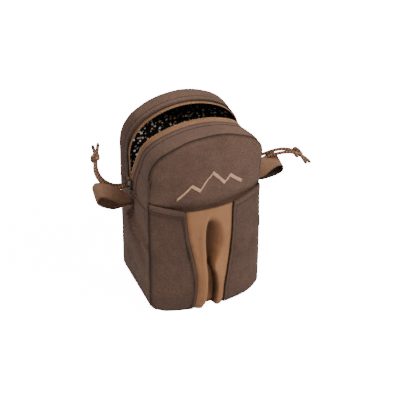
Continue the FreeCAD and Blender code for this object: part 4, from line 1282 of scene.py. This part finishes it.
def plane_map(piece: bpy.types.Object, first: int = 0, second: int = 1) -> None:
    """Give a modelled piece a cloth map in metres from two of its axes."""
    layers = piece.data.uv_layers
    layer = layers.get("cloth") or layers.new(name="cloth")
    layers.active = layer
    for loop in piece.data.loops:
        co = piece.data.vertices[loop.vertex_index].co
        layer.data[loop.index].uv = (co[first], co[second] + co[3 - first - second])
@dataclass
class Pocket:
    """The bulging front pocket: two panels, hems, edge folds, the knit insert and the floor."""

    sizes: Sizes
    bulge: float = 16 * MM
    standoff: float = 1.4 * MM
    hem: float = 9 * MM
    left_edge: tuple[tuple[float, float], ...] = ((0, -19), (12, -16.6), (33, -14.8), (48, -15.4), (69, -18.6),
                                                  (98, -24.4), (140, -28))
    right_edge: tuple[tuple[float, float], ...] = ((0, 17), (26, 18), (40, 20), (55, 22), (69, 24), (98, 26.6),
                                                   (140, 28))

    def front(self, x: np.ndarray, z: np.ndarray) -> np.ndarray:
        """How far forward the pocket stands, before folds."""
        radius = (self.sizes.half ** 2 + self.bulge ** 2) / (2 * self.bulge)
        sag = radius - np.sqrt(radius ** 2 - np.clip(x, -self.sizes.half, self.sizes.half) ** 2)
        under = 3.6 * MM * hump(np.maximum(z, 0), 6 * MM)
        belly = 1.0 * MM * ease((z - 10 * MM) / (40 * MM)) * ease((130 * MM - z) / (50 * MM))
        return self.sizes.front - self.standoff - self.bulge + sag + under - belly

    def top(self, x: np.ndarray) -> np.ndarray:
        """The hem line, a shallow vee that rises to the side seams."""
        out = np.maximum(np.abs(x) - 27 * MM, 0) / (self.sizes.half - 27 * MM)
        return 134.3 * MM + np.where(x < 0, 11.0 * MM, 6.5 * MM) * out

    def side(self, z: np.ndarray) -> np.ndarray:
        """Half width at a height, round the lower corners."""
        r = self.sizes.corner
        low = np.clip(r - z, 0, r)
        return self.sizes.half - 0.2 * MM - (r - np.sqrt(r ** 2 - low ** 2))

    def insert_edge(self, z: np.ndarray, sign: float) -> np.ndarray:
        """The insert's edge on one side."""
        return table(z, self.left_edge if sign < 0 else self.right_edge)

    def build(self) -> None:
        """Make both sides, then what is between and below them."""
        for sign, word in SIDES:
            self.panel(sign, word)
            self.hem_strip(sign, word)
            self.edge_fold(sign, word)
        self.insert()
        self.floor()

    def panel(self, sign: float, word: str) -> None:
        """One pocket panel, in the darker copy of the canvas as painted shade."""
        v = np.array([0, 1, 2.2, 3.6, 5.2, 7, 9, 11.5] + list(np.linspace(15, 100, 30)))[:, None] / 100
        near = np.array([0, 0.6, 1.2, 1.9, 2.8, 4.2, 6.4, 9.6]) * MM
        level = v * 136 * MM
        outer = self.side(level) * sign
        span = np.abs(outer - (self.insert_edge(level, sign) + sign * 0.6 * MM))
        far = np.concatenate([near + 0 * span, near[-1] + (span - near[-1]) * np.linspace(0, 1, 27)[1:]], axis=1)
        x = outer - sign * far
        z = v * self.top(x)
        from_hem = self.top(x) - z - self.hem
        dent = ripple(x, z, 1.0 + sign, 0.6 * MM) - Crease((-52, 100), (-24, 92), 1.0, 5).offset(-np.abs(x), z)
        y = self.front(x, z) + 1.6 * MM * hump(far, 2.2 * MM) + dent * ease(far / (8 * MM)) * ease(v / 0.1)
        y = y + 0.4 * MM * hump(from_hem, 0.8 * MM)
        # Painted shade at the side seam, under the hem, at the bottom edge and beside the binding.
        seam = hump(far, 1.6 * MM) + 0.6 * hump(from_hem, 0.9 * MM) + 0.5 * hump(z, 1.6 * MM)
        seam = seam + 0.6 * hump(span - far - 3.7 * MM, 0.7 * MM)
        piece = cloth(f"pocket_{word}", grid(x, y, z + 0.25 * MM), grid(x, z), seam, flip=sign > 0)
        wall(piece, 1.3 * MM, SHADED_POCKET_CANVAS, PLAIN_LINING)
        settle(piece, Body.POUCH, "canvas", f"pocket_panel_{word}")

    def trim(self, name: str, places: np.ndarray, uv: np.ndarray, seam: np.ndarray, flip: bool,
             *nodes: str) -> None:
        """A folded canvas edging, softened all round.

        Args:
            name: The piece's name.
            places: Its grid of places.
            uv: Its cloth coordinates.
            seam: Nearness of a seam.
            flip: Whether its faces turn the other way.
            nodes: The frame's solids that it stands for.
        """
        piece = cloth(name, places, uv, seam + 0 * uv[..., 0], flip)
        # The edgings take the darker copy of the canvas as painted shade.
        piece.data.materials.append(SHADED_HEM_CANVAS.material())
        apply(piece, "SOLIDIFY", thickness=0.5 * MM, offset=0.0, use_even_offset=False)
        apply(piece, "SUBSURF", levels=1, render_levels=1)
        smooth(piece, 75)
        settle(piece, Body.POUCH, "canvas", *nodes)

    def topstitch(self, name: str, x: np.ndarray, z: np.ndarray, out: float) -> None:
        """A row of stitches on the pocket's face."""
        row = grid(x, self.front(x, z) - out, z)
        settle(stitches(name, row, (0.0, -1.0, 0.0), 2.8 * MM, skip=3 * MM), Body.POUCH, "thread_bar")

    def hem_strip(self, sign: float, word: str) -> None:
        """The folded top hem, a doubled strip that wraps over the pocket's edge."""
        hem = self.hem / MM
        inner = self.insert_edge(np.array([134 * MM]), sign)[0]
        x = np.linspace(sign * (self.sizes.half - 0.6 * MM), inner + sign * 0.5 * MM, 40)
        across = np.array([(hem + 0.1, 0.1), (hem - 0.4, 0.75), (hem - 1.6, 0.85), (hem - 2.2, 0.5),
                           (hem - 2.8, 0.9),
                           (hem * 0.5, 1.25), (1.6, 1.1), (0.5, 0.9), (-0.1, 0.2), (0.2, -1.0), (1.4, -1.9),
                           (4.0, -1.9)]) * MM
        down, out = across[:, :1], across[:, 1:]
        z = self.top(x) - down
        y = self.front(x, z) - out + 1.3 * MM * hump(self.sizes.half - np.abs(x), 2.2 * MM)
        # Painted shade in the stitch groove and along the hem's lower edge.
        seam = 0.7 * hump(down - (self.hem - 2.2 * MM), 0.6 * MM) + 0.8 * (down > self.hem - 0.2 * MM)
        uv = grid(x, np.where(out > 0, -down, 0.01 + down))
        self.trim(f"pocket_hem_{word}", grid(x, y, z), uv, seam, sign > 0, f"pocket_hem_{word}")
        self.topstitch(f"hem_topstitch_{word}", x, self.top(x) - self.hem + 2.2 * MM, 0.85 * MM)

    def edge_fold(self, sign: float, word: str) -> None:
        """The folded strip along the insert's edge."""
        z = np.linspace(1.5 * MM, 133.6 * MM, 60)
        edge = self.insert_edge(z, sign)
        across = np.array([(3.6, 0.1), (3.45, 0.55), (2.7, 0.9), (1.7, 1.05), (0.9, 0.95), (0.3, 0.7), (-0.1, 0.1),
                           (0.2, -1.3), (1.8, -1.8)])
        a, out = across[:, :1], across[:, 1:]
        x = edge + sign * a * MM
        # Painted shade along both edges of the binding and on its tucked-under part.
        seam = np.select([a > 3.5, (a < 0) | (out < 0)], [0.85, 1.0], 0.35 * (a < 0.5))
        self.trim(f"insert_binding_{word}", grid(x, self.front(x, z) - out * MM, z), grid(a * MM, z), seam,
                  sign < 0)
        self.topstitch(f"binding_topstitch_{word}", edge + sign * 2.6 * MM, z, 1.05 * MM)
    def hollow(self, x: np.ndarray, z: np.ndarray) -> tuple[np.ndarray, np.ndarray]:
        """The insert's inverted fold.

        Args:
            x: Places across.
            z: Heights.

        Returns:
            How far the cloth sinks in, and the painted shade of the fold's hollow and along its edges, from 0 to 1.
        """
        left = table(z, ((0, -9), (8, -5), (26, -3.2), (50, -3.4), (62, -4.8), (95, -6.2), (108, -5.4), (116, -4),
                         (124, -2), (140, -1)))
        right = table(z, ((0, 8), (26, 10.5), (44, 8.5), (56, 5), (66, 10), (85, 19), (98, 18), (108, 15.5),
                          (116, 11.5), (124, 7), (140, 4)))
        fall = table(z,
                     ((0, 3.0), (46, 3.0), (56, 5), (66, 11), (85, 19), (98, 18), (108, 14), (116, 10), (140, 7)))
        depth = table(z, ((0, 6.5), (12, 9), (30, 12), (50, 12.5), (60, 13.5), (90, 13), (106, 10.5), (114, 6),
                          (121, 0), (140, 0)))
        rise = table(z, ((0, 2.2), (60, 2.2), (100, 2.6), (116, 4.0), (140, 4)))
        mask = ease((x - left) / rise) * (1 - ease((x - right + fall) / fall))
        crest = 1.9 * MM * hump(x - left + 2.6 * MM, 4.2 * MM) * ease((124 * MM - z) / (24 * MM))
        crest = crest + 1.9 * MM * hump(x - right - 3.0 * MM, 4.5 * MM) * ease((66 * MM - z) / (26 * MM))
        # Painted shadow lines along the fold's edges, and painted shade deeper in the hollow.
        fold_edge_shadow = 0.8 * hump(x - left - rise * 0.7, 1.0 * MM)
        fold_edge_shadow = fold_edge_shadow + 0.8 * hump(x - right + fall * 0.7, 1.2 * MM) * ease((66 * MM - z) / (14 * MM))
        hollow_shade = 0.85 * mask ** 1.5 * (0.3 + 0.7 * ease((z - 44 * MM) / (26 * MM)))
        return depth * mask - crest, (hollow_shade + fold_edge_shadow) * ease(depth / (8 * MM))

    def insert(self) -> None:
        """The tan knit insert with its hollow fold."""
        z = np.concatenate([np.linspace(0.4, 6, 5), np.linspace(8, 134, 76)]) * MM
        share = np.linspace(0, 1, 104)
        left, right = self.insert_edge(z, -1.0) - 1.8 * MM, self.insert_edge(z, 1.0) + 1.8 * MM
        left, right = left[:, None], right[:, None]
        x = left + (right - left) * share
        high = z[:, None] + 0 * x
        sink, dark = self.hollow(x, high)
        edge = np.minimum(x - left, right - x)
        fade = ease((edge - 1.5 * MM) / (5 * MM))
        y = self.front(x, high) + 1.5 * MM - 1.0 * MM * fade + sink * fade + ripple(x, high, 9.0, 0.25 * MM) * fade
        # Painted shade in the fold's hollow, at the insert's edges and under the hem.
        seam = dark + hump(edge - 1.6 * MM, 1.2 * MM) + 0.5 * hump(134 * MM - high, 0.8 * MM)
        steps = np.hypot(np.diff(x, axis=1), np.diff(y, axis=1))
        run = np.concatenate([np.zeros((len(z), 1)), np.cumsum(steps, axis=1)], axis=1)
        piece = cloth("pocket_insert", grid(x, y, high), grid(run, high), seam)
        wall(piece, 0.9 * MM, KNIT, PLAIN_LINING)
        settle(piece, Body.POUCH, "stretch_knit", "pocket_stretch_insert")

    def floor(self) -> None:
        """The cloth that closes the pocket at the base, and the wall behind the pocket."""
        x = np.linspace(-1, 1, 120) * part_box("pocket_floor")[1].x
        sink, _ = self.hollow(x, 0 * x + MM)
        rim = self.front(x, 0 * x) + 1.6 * MM + np.where(np.abs(x) < 15 * MM, np.maximum(sink, 0), 0)
        v = np.linspace(0, 1, 8)[:, None]
        places = grid(x, (self.sizes.front - 0.2 * MM) * (1 - v) + rim * v, 0.2 * MM)
        piece = cloth("pocket_base", places, places[..., :2].copy(),
                      hump(places[..., 1] - self.sizes.front, 1.5 * MM))
        # The pocket's base takes the darker copy of the canvas as painted shade.
        wall(piece, 0.8 * MM, SHADED_POCKET_CANVAS)
        settle(piece, Body.POUCH, "canvas", "pocket_floor")
        z = np.linspace(2, 138.6, 40) * MM
        width = self.side(z) - 2.2 * MM
        x, z = width[:, None] * np.linspace(-1, 1, 40), z[:, None]
        places = grid(x, self.sizes.front + 0.6 * MM + ripple(x, z, 4.0, 0.2 * MM), z)
        piece = cloth("front_lower_wall", places, grid(x, z))
        wall(piece, 4.0 * MM, CANVAS, PLAIN_LINING)
        settle(piece, Body.POUCH, "canvas", "front_lower_panel", "front_lower_foam", "front_lower_lining")


@dataclass
class SideLoop:
    """A folded webbing loop, gathered at its root and twisted towards its nose."""

    sizes: Sizes
    word: str
    side: float
    nose: tuple[float, float, float]
    root_tilt: float
    nose_tilt: float
    gap: float
    pinch: float
    width: float = 19 * MM
    skew: float = 0.0
    root_height: float = 119 * MM
    inside: Finish = WEBBING_SHADE

    def build(self) -> None:
        """Make the loop, its stitched root and the stitches."""
        root = Vector((self.side * (self.sizes.half + 0.6 * MM), 1 * MM, self.root_height))
        nose = Vector(self.nose) * MM
        axis = (nose - root).normalized()
        length = (nose - root).length
        count = 60
        t = np.linspace(-1, 1, count)
        out = np.sin(np.clip(1 - np.abs(t), 0, 1) * np.pi / 2) ** 0.9
        open_half = self.gap / 2 * np.sign(t) * np.sin(np.clip(np.abs(t), 0, 1) *
                                                       np.pi) ** 0.55 * (1.0 + 0.25 * np.sign(t))
        open_half = open_half + 0.9 * MM * np.sign(t) * np.abs(t) ** 2
        v = np.linspace(-1, 1, 9)
        places, uv = [], []
        run, last = 0.0, None
        for k in range(count):
            tilt = math.radians(self.root_tilt + (self.nose_tilt - self.root_tilt) * float(ease(out[k] * 1.1)))
            up = Vector((0, math.sin(tilt), math.cos(tilt)))
            up = (up - axis * up.dot(axis)).normalized()
            thick = axis.cross(up).normalized()
            half = self.width / 2 * (self.pinch + (1 - self.pinch) * float(ease(out[k] / 0.5)))
            middle = root + axis * (length * out[k]) + thick * float(open_half[k])
            if last is not None:
                run += (middle - last).length
            last = middle
            cup = 0.6 * MM * (1 - v ** 2)
            slip = axis * float(length * self.skew * out[k])
            side = 1.0 if t[k] > 0 else -1.0
            places.append([list(middle + (slip + up * half) * float(q) + thick * float(c * side))
                           for q, c in zip(v, cup)])
            uv.append([[run, float(q * self.width / 2)] for q in v])
        # Painted shade near the root, where the loop is gathered against the wall, and along its edges.
        seam = 0.8 * ease((0.16 - out) / 0.16)[:, None] + 0.35 * (np.abs(v) > 0.95)
        piece = cloth(f"side_loop_{self.word}_webbing", np.array(places), np.array(uv), seam)
        piece.data.materials.append(WEBBING.material())
        # The inner face takes the inside finish; by default the darker copy of the webbing as painted shade.
        piece.data.materials.append(self.inside.material())
        apply(piece, "SOLIDIFY", thickness=1.3 * MM, offset=0.0, use_even_offset=False, material_offset=1)
        apply(piece, "BEVEL", width=0.3 * MM, segments=2, limit_method="ANGLE", angle_limit=math.radians(50))
        smooth(piece)
        settle(piece, Body.POUCH, "webbing", f"side_loop_{self.word}")
        self.tab(root)

    def tab(self, root: Vector) -> None:
        """The sewn root on the side seam with its bar tack."""
        low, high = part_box(f"side_loop_root_{self.word}")
        y = np.linspace(low.y - 0.6 * MM, high.y + 0.6 * MM, 12)
        z = np.linspace(low.z + 2 * MM, high.z - 2 * MM, 16)
        py, pz = np.meshgrid(y, z)
        edge = np.minimum(np.minimum(py - y[0], y[-1] - py), np.minimum(pz - z[0], z[-1] - pz))
        lift = 2.2 * MM * ease(edge / (2.2 * MM)) - 0.5 * MM * hump(py - (low.y + high.y) / 2, 1.0 * MM)
        places = grid(self.side * (self.sizes.half - 1.0 * MM + lift), py, pz)
        name = f"side_loop_{self.word}"
        # Painted shade along the root's edges; the root takes the darker copy of the webbing as painted shade.
        piece = cloth(f"{name}_root", places, grid(py, pz), hump(edge, 0.8 * MM), flip=self.side < 0)
        wall(piece, 1.2 * MM, WEBBING_SHADE)
        settle(piece, Body.POUCH, "webbing", f"side_loop_root_{self.word}")
        points = grid(self.side * (self.sizes.half + 1.0 * MM), (low.y + high.y) / 2, np.linspace(z[1], z[-2], 30))
        bar_tack(f"{name}_tack", points, (self.side, 0.0, 0.0), 0.7 * MM, 3.0 * MM)
@dataclass
class BackWebbing:
    """A row of webbing across the back, tacked at both ends and in the middle."""

    sizes: Sizes
    node: str

    def build(self) -> None:
        """Make the row and its bar tacks."""
        low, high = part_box(self.node)
        x = np.linspace(low.x, high.x, 90)
        z = np.linspace(low.z, high.z, 11)
        px, pz = np.meshgrid(x, z)
        tack = 8 * MM
        free = np.minimum(np.abs(np.abs(px) - high.x), np.abs(px))
        to_tack = np.minimum(high.x - np.abs(px) - tack, np.abs(px) - tack / 2)
        flat = 1.4 * MM
        lift = flat + (high.y - self.sizes.back - flat) * ease(to_tack / (6 * MM) +
                                                               0.15) + 0.1 * MM * np.sin(px / MM * 0.4)
        # Painted shade along the webbing's outer rows and beside the tacks.
        mark = 0.35 * (np.abs(pz - (low.z + high.z) / 2) > 12 * MM) + 0.5 * hump(free - tack, 0.8 * MM)
        piece = cloth(f"{self.node}_strap", grid(px, self.sizes.back + lift, pz), grid(px, pz), mark, flip=True)
        wall(piece, 1.3 * MM, WEBBING)
        settle(piece, Body.POUCH, "webbing", self.node)
        line = np.linspace(low.z + 2 * MM, high.z - 2 * MM, 30)
        for k, centre in enumerate((low.x + tack / 2, 0.0, high.x - tack / 2)):
            for letter, shift in (("a", -2.2 * MM), ("b", 2.2 * MM)):
                points = grid(centre + shift, self.sizes.back + 1.7 * MM, line)
                bar_tack(f"{self.node}_tack_{k + 1}{letter}", points, (0.0, 1.0, 0.0), 0.8 * MM, 2.4 * MM)
@dataclass
class Slider:
    """A zip slider: two plates with rolled lips, a divider and the bridge for the cord."""

    sizes: Sizes
    word: str
    side: float

    def build(self) -> None:
        """Model the parts, join them and dress the slider; then the bar at the zip's end."""
        node = f"slider_{self.word}"
        low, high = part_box(node)
        y, z = (low.y + high.y) / 2, (low.z + high.z) / 2
        wide, tall = high.y - low.y, high.z - low.z
        parts = [self.plate(self.sizes.half + out, y, z, wide, tall) for out in (0.9 * MM, -3.5 * MM)]
        parts += [self.lip(y + sign * (wide / 2 - 0.5 * MM), z, tall) for sign in (-1, 1)]
        parts.append(self.post(y, z + tall / 2 - 2.0 * MM))
        parts.append(self.bridge(y, z, max(abs(high.x), abs(low.x)) - self.sizes.half))
        bpy.ops.object.select_all(action="DESELECT")
        for part in parts:
            part.select_set(True)
        bpy.context.view_layer.objects.active = parts[0]
        bpy.ops.object.join()
        body = bpy.context.object
        body.name = f"zip_slider_{self.word}"
        body.data.materials.clear()
        plane_map(body, 1, 2)
        body.data.materials.append(BRONZE.material())
        smooth(body, 40)
        settle(body, Body.LEFT_SLIDER if self.side < 0 else Body.RIGHT_SLIDER, "slider_metal", node)
        self.end_bar()

    def block(self, x: float, y: float, z: float, size: tuple[float, float, float]) -> bpy.types.Object:
        """A plain block on this slider's side."""
        return block((self.side * x, y, z), size)
    def plate(self, x: float, y: float, z: float, wide: float, tall: float) -> bpy.types.Object:
        """A plate that narrows towards the closed zip's end."""
        made = self.block(x, y, z, (1.3 * MM, wide, tall))
        bpy.ops.object.mode_set(mode="EDIT")
        bpy.ops.mesh.select_all(action="DESELECT")
        shape = bmesh.from_edit_mesh(made.data)
        for vertex in shape.verts:
            vertex.select_set(vertex.co.z < z)
        shape.select_flush(True)
        bmesh.update_edit_mesh(made.data)
        bpy.ops.transform.resize(value=(1, 0.72, 1), center_override=(self.side * x, y, z - tall / 2))
        bpy.ops.mesh.select_all(action="SELECT")
        bpy.ops.mesh.bevel(offset=0.45 * MM, segments=3, affect="EDGES")
        bpy.ops.object.mode_set(mode="OBJECT")
        return made

    def lip(self, y: float, z: float, tall: float) -> bpy.types.Object:
        """A rolled lip along one side of the outer plate."""
        made = self.block(self.sizes.half + 0.2 * MM, y, z + 1.2 * MM, (2.0 * MM, 0.9 * MM, tall * 0.66))
        apply(made, "BEVEL", width=0.4 * MM, segments=3)
        return made

    def post(self, y: float, z: float) -> bpy.types.Object:
        """The divider between the plates."""
        made = self.block(self.sizes.half - 1.3 * MM, y, z, (4.6 * MM, 1.0 * MM, 2.6 * MM))
        apply(made, "BEVEL", width=0.3 * MM, segments=2)
        return made

    def bridge(self, y: float, z: float, reach: float) -> bpy.types.Object:
        """The arched bridge that the cord passes through."""
        bpy.ops.object.select_all(action="DESELECT")
        place = (self.side * (self.sizes.half + reach - 4.4 * MM), y, z)
        bpy.ops.mesh.primitive_torus_add(major_radius=3.9 * MM, minor_radius=0.75 * MM, major_segments=32,
                                         minor_segments=10, location=place, rotation=(math.pi / 2, 0, 0))
        made = bpy.context.object
        made.scale = (0.95, 1.12, 1.7)
        bpy.ops.object.transform_apply(location=True, rotation=True, scale=True)
        return made

    def end_bar(self) -> None:
        """The dense bar of stitches across the zip's end."""
        node = f"zip_end_stop_{self.word}"
        low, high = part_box(node)
        points = grid(self.side * (self.sizes.half + 0.45 * MM), np.linspace(low.y, high.y, 18),
                      (low.z + high.z) / 2)
        bar_tack(f"zip_end_bar_{self.word}", points, (self.side, 0.0, 0.0), 0.62 * MM, 2.6 * MM, 0.36 * MM, (node,))
@dataclass
class Pull:
    """A cord pull: one cord folded through the bridge, tied in an overhand knot with two cut tails."""

    word: str
    body: Body
    strands: dict[str, tuple[tuple[float, float, float], ...]]
    knot_axis: tuple[float, float, float]
    diameter: float = 3.3 * MM

    def route(self, points: Sequence[tuple[float, float, float]]) -> np.ndarray:
        """Read a smooth line from the route's control points.

        Args:
            points: Control points in millimetres.

        Returns:
            Places along the line in metres.
        """
        curve = bpy.data.curves.new("route", "CURVE")
        curve.dimensions = "3D"
        curve.resolution_u = 16
        spline = curve.splines.new("NURBS")
        spline.points.add(len(points) - 1)
        for point, spot in zip(spline.points, points):
            point.co = (*[v * MM for v in spot], 1.0)
        spline.order_u = 3
        spline.use_endpoint_u = True
        holder = bpy.data.objects.new("route", curve)
        bpy.context.scene.collection.objects.link(holder)
        bpy.context.view_layer.update()
        mesh = bpy.data.meshes.new_from_object(holder.evaluated_get(bpy.context.evaluated_depsgraph_get()))
        line = np.array([v.co for v in mesh.vertices])
        bpy.data.objects.remove(holder)
        bpy.data.meshes.remove(mesh)
        return line

    def build(self) -> None:
        """Make the knot, then both strands through it."""
        knot = self.knot()
        for letter, points in self.strands.items():
            line = self.route(points)
            name = f"pull_{self.word}_strand_{letter}"
            strand = tube(name, line, self.diameter * 0.57, 16, CORD_END)
            settle(strand, self.body, "cord", f"pull_cord_{self.word}_{letter}")

    def knot(self) -> bpy.types.Object:
        """The overhand knot, a tight trefoil about both strands."""
        low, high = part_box(f"pull_knot_{self.word}")
        centre = (low + high) / 2
        t = np.linspace(0, 2 * math.pi, 97)
        size = 1.2 * MM
        x, y = size * (np.sin(t) + 2 * np.sin(2 * t)), size * (np.cos(t) - 2 * np.cos(2 * t))
        z = -2.8 * MM * np.sin(3 * t) + 2.2 * MM * np.sin(t)
        turn = np.array(Vector((0, 0, 1)).rotation_difference(Vector(self.knot_axis)).to_matrix())
        line = np.stack([x, y, z], axis=-1) @ turn.T + np.array(centre)
        knot = tube(f"pull_{self.word}_knot", line, self.diameter * 0.64, 12)
        return settle(knot, self.body, "cord", f"pull_knot_{self.word}")


@dataclass
class Motif:
    """A plain ridge line of three peaks in satin thread on the upper front."""

    sizes: Sizes
    panel: FlapPanel
    ridge: tuple[tuple[float, float], ...] = ((-36, 151), (-20, 166), (-11, 159), (4, 178), (17, 163), (24, 170),
                                              (38, 157))
    stroke: float = 3.2 * MM
    pitch: float = 0.62 * MM

    def build(self) -> None:
        """Lay slanting satin stitches side by side along the ridge."""
        frames = []
        for start, end in zip(self.ridge, self.ridge[1:]):
            p, q = np.array(start) * MM, np.array(end) * MM
            count = int(np.linalg.norm(q - p) / self.pitch)
            for k in range(count):
                x, z = p + (q - p) * (k + 0.5) / count + np.array([0.0, self.stroke / 2])
                frames.append(self.frame(float(x), float(z)))
        thread = copies("ridge_motif", capsule(self.stroke * 1.25, 0.5 * MM), frames, SATIN)
        settle(thread, Body.FLAP, "thread", "embroidered_motif")

    def frame(self, x: float, z: float) -> Matrix:
        """Where one upright stitch lies on the leaning panel."""

        def spot(a: float, b: float) -> np.ndarray:
            """A place on the panel's face."""
            flat_x, flat_z = np.array([a]), np.array([b])
            y = self.panel.plane + self.panel.outward * self.panel.relief(flat_x, flat_z)
            return self.sizes.fold.forward(grid(flat_x, y, flat_z))[0]

        here = spot(x, z)
        along_z = Vector(spot(x + 0.3 * MM, z + MM) - here).normalized()
        across = Vector(spot(x + MM, z) - here)
        normal = across.cross(along_z).normalized()
        return frame_at(Vector(here) + normal * 0.25 * MM, along_z, normal)


@dataclass(frozen=True)
class Studio:
    """The floor, the soft lights and the camera."""

    azimuth: float = -21.8
    elevation: float = 34.42
    distance: float = 1.6933
    lens: float = 139.45
    aim: tuple[float, float, float] = (3.87, -22.17, 119.12)
    lamps: tuple[tuple[str, tuple[float, float, float], float, float], ...] = (
        ("key_light", (0.7, -0.75, 1.1), 0.6, 19.0), ("top_light", (-0.55, 0.15, 1.3), 0.7, 6.5),
        ("fill_light", (-1.1, -0.9, 0.7), 1.0, 0.9), ("rim_light", (0.1, 1.1, 0.9), 0.8, 5.0))

    def build(self) -> None:
        """Set the floor, the surroundings, the lamps and the camera."""
        bpy.ops.object.select_all(action="DESELECT")
        bpy.ops.mesh.primitive_plane_add(size=12.0, location=(0, 0, -0.0002))
        floor = bpy.context.object
        floor.name = "floor"
        bpy.ops.object.transform_apply(location=True, rotation=True, scale=True)
        floor.data.materials.append(GROUND.material())
        world = bpy.data.worlds.new("surround")
        world.use_nodes = True
        background = world.node_tree.nodes["Background"]
        background.inputs[0].default_value = (1.0, 0.98, 0.96, 1.0)
        around = Tree(world.node_tree)
        seen = around.add("LightPath").outputs["Is Camera Ray"]
        around.feed(background.inputs[1], around.spread(seen, 0.0, 1.0, 0.2, PURE_WHITE))
        bpy.context.scene.world = world
        aim = Vector(self.aim) * MM
        for name, offset, size, power in self.lamps:
            self.lamp(name, aim + Vector(offset), aim, size, power)
        a, e = math.radians(self.azimuth), math.radians(self.elevation)
        back = Vector((math.sin(a) * math.cos(e), -math.cos(a) * math.cos(e), math.sin(e)))
        data = bpy.data.cameras.new("camera")
        data.lens, data.sensor_width = self.lens, 36.0
        data.clip_start, data.clip_end = 0.01, 50.0
        camera = bpy.data.objects.new("camera", data)
        camera.location = aim + back * self.distance
        camera.rotation_euler = (-back).to_track_quat("-Z", "Y").to_euler()
        bpy.context.scene.collection.objects.link(camera)
        bpy.context.scene.camera = camera

    def lamp(self, name: str, place: Vector, aim: Vector, size: float, power: float) -> None:
        """A square soft lamp that faces the pouch."""
        data = bpy.data.lights.new(name, "AREA")
        data.shape, data.size, data.energy = "SQUARE", size, power
        lamp = bpy.data.objects.new(name, data)
        lamp.location = place
        lamp.rotation_euler = (aim - place).to_track_quat("-Z", "Y").to_euler()
        bpy.context.scene.collection.objects.link(lamp)


LEFT_STRANDS = {
    "a": ((-71.2, 10.4, 139.4), (-74.6, 12.0, 137.6), (-80.5, 14.4, 136.6), (-87.4, 17.4, 138.8),
          (-94.6, 21.4, 145.0), (-98.0, 25.6, 154.4),
          (-97.0, 29.2, 163.6), (-96.8, 32.4, 172.2), (-98.6, 34.4, 181.0)),
    "b": ((-71.2, 8.0, 138.2), (-74.8, 9.0, 136.0), (-81.0, 11.2, 134.8), (-89.0, 14.2, 136.6),
          (-97.2, 18.4, 143.6), (-101.0, 23.0, 154.0),
          (-98.6, 27.4, 163.6), (-94.2, 32.0, 172.4), (-91.6, 35.6, 181.6)),
}
RIGHT_STRANDS = {
    "a": ((71.2, 10.4, 139.2), (75.0, 11.2, 138.4), (81.0, 10.2, 137.8), (87.8, 7.2, 139.8), (94.6, 2.2, 145.0),
          (102.4, -2.6, 149.6),
          (112.0, -7.4, 151.6), (121.6, -13.0, 149.4), (128.8, -17.4, 142.6), (132.2, -20.0, 134.2)),
    "b": ((71.2, 7.8, 137.6), (75.0, 7.4, 136.4), (82.0, 6.4, 135.4), (90.0, 3.4, 137.2), (97.2, -1.6, 142.6),
          (104.4, -6.2, 146.6),
          (112.8, -10.2, 148.6), (121.6, -13.8, 147.6), (130.4, -17.6, 142.4), (137.2, -20.2, 134.6)),
}


def main() -> None:
    """Build the pouch, piece by piece, and its surroundings."""
    logging.basicConfig(level=logging.INFO, format="%(name)s: %(message)s")
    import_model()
    sizes = Sizes()
    Studio().build()
    Pull("left", Body.LEFT_PULL, LEFT_STRANDS, (0.12, 0.36, 0.92)).build()
    Pull("right", Body.RIGHT_PULL, RIGHT_STRANDS, (0.78, -0.38, -0.50)).build()
    back = Panel(sizes, "back_wall", sizes.back_arch(), 0.4 * MM, 1.0, sizes.back, 6.0)
    settle(back.build(CANVAS, FLECKED), Body.POUCH, "canvas", "back_panel", "back_foam", "back_lining")
    front = FlapPanel(sizes, "upper_front", sizes.front_arch(), 124 * MM, -1.0, sizes.front, 8.0)
    settle(front.build(CANVAS, PLAIN_LINING), sizes.fold, "canvas", "front_upper_panel", "front_upper_foam",
           "front_upper_lining")
    Strip(sizes, "front", sizes.front_arch(), tape_shown=7.4 * MM, slack=9.5 * MM).build()
    Strip(sizes, "rear", sizes.back_arch(), tape_shown=4.4 * MM, slack=0.4 * MM).build()
    Gusset(sizes).build()
    Pocket(sizes).build()
    Motif(sizes, front).build()
    SideLoop(sizes, "left", -1.0, (-104.5, 9, 137), 52.0, 70.0, gap=15 * MM, pinch=0.2, width=20 * MM, skew=0.06,
             inside=WEBBING).build()
    SideLoop(sizes, "right", 1.0, (109, 1, 129), 30.0, 66.0, gap=19 * MM, pinch=0.3).build()
    for side, word in SIDES:
        Slider(sizes, word, side).build()
    for node in ("back_webbing_upper", "back_webbing_lower"):
        BackWebbing(sizes, node).build()


if __name__ == "__main__":
    main()
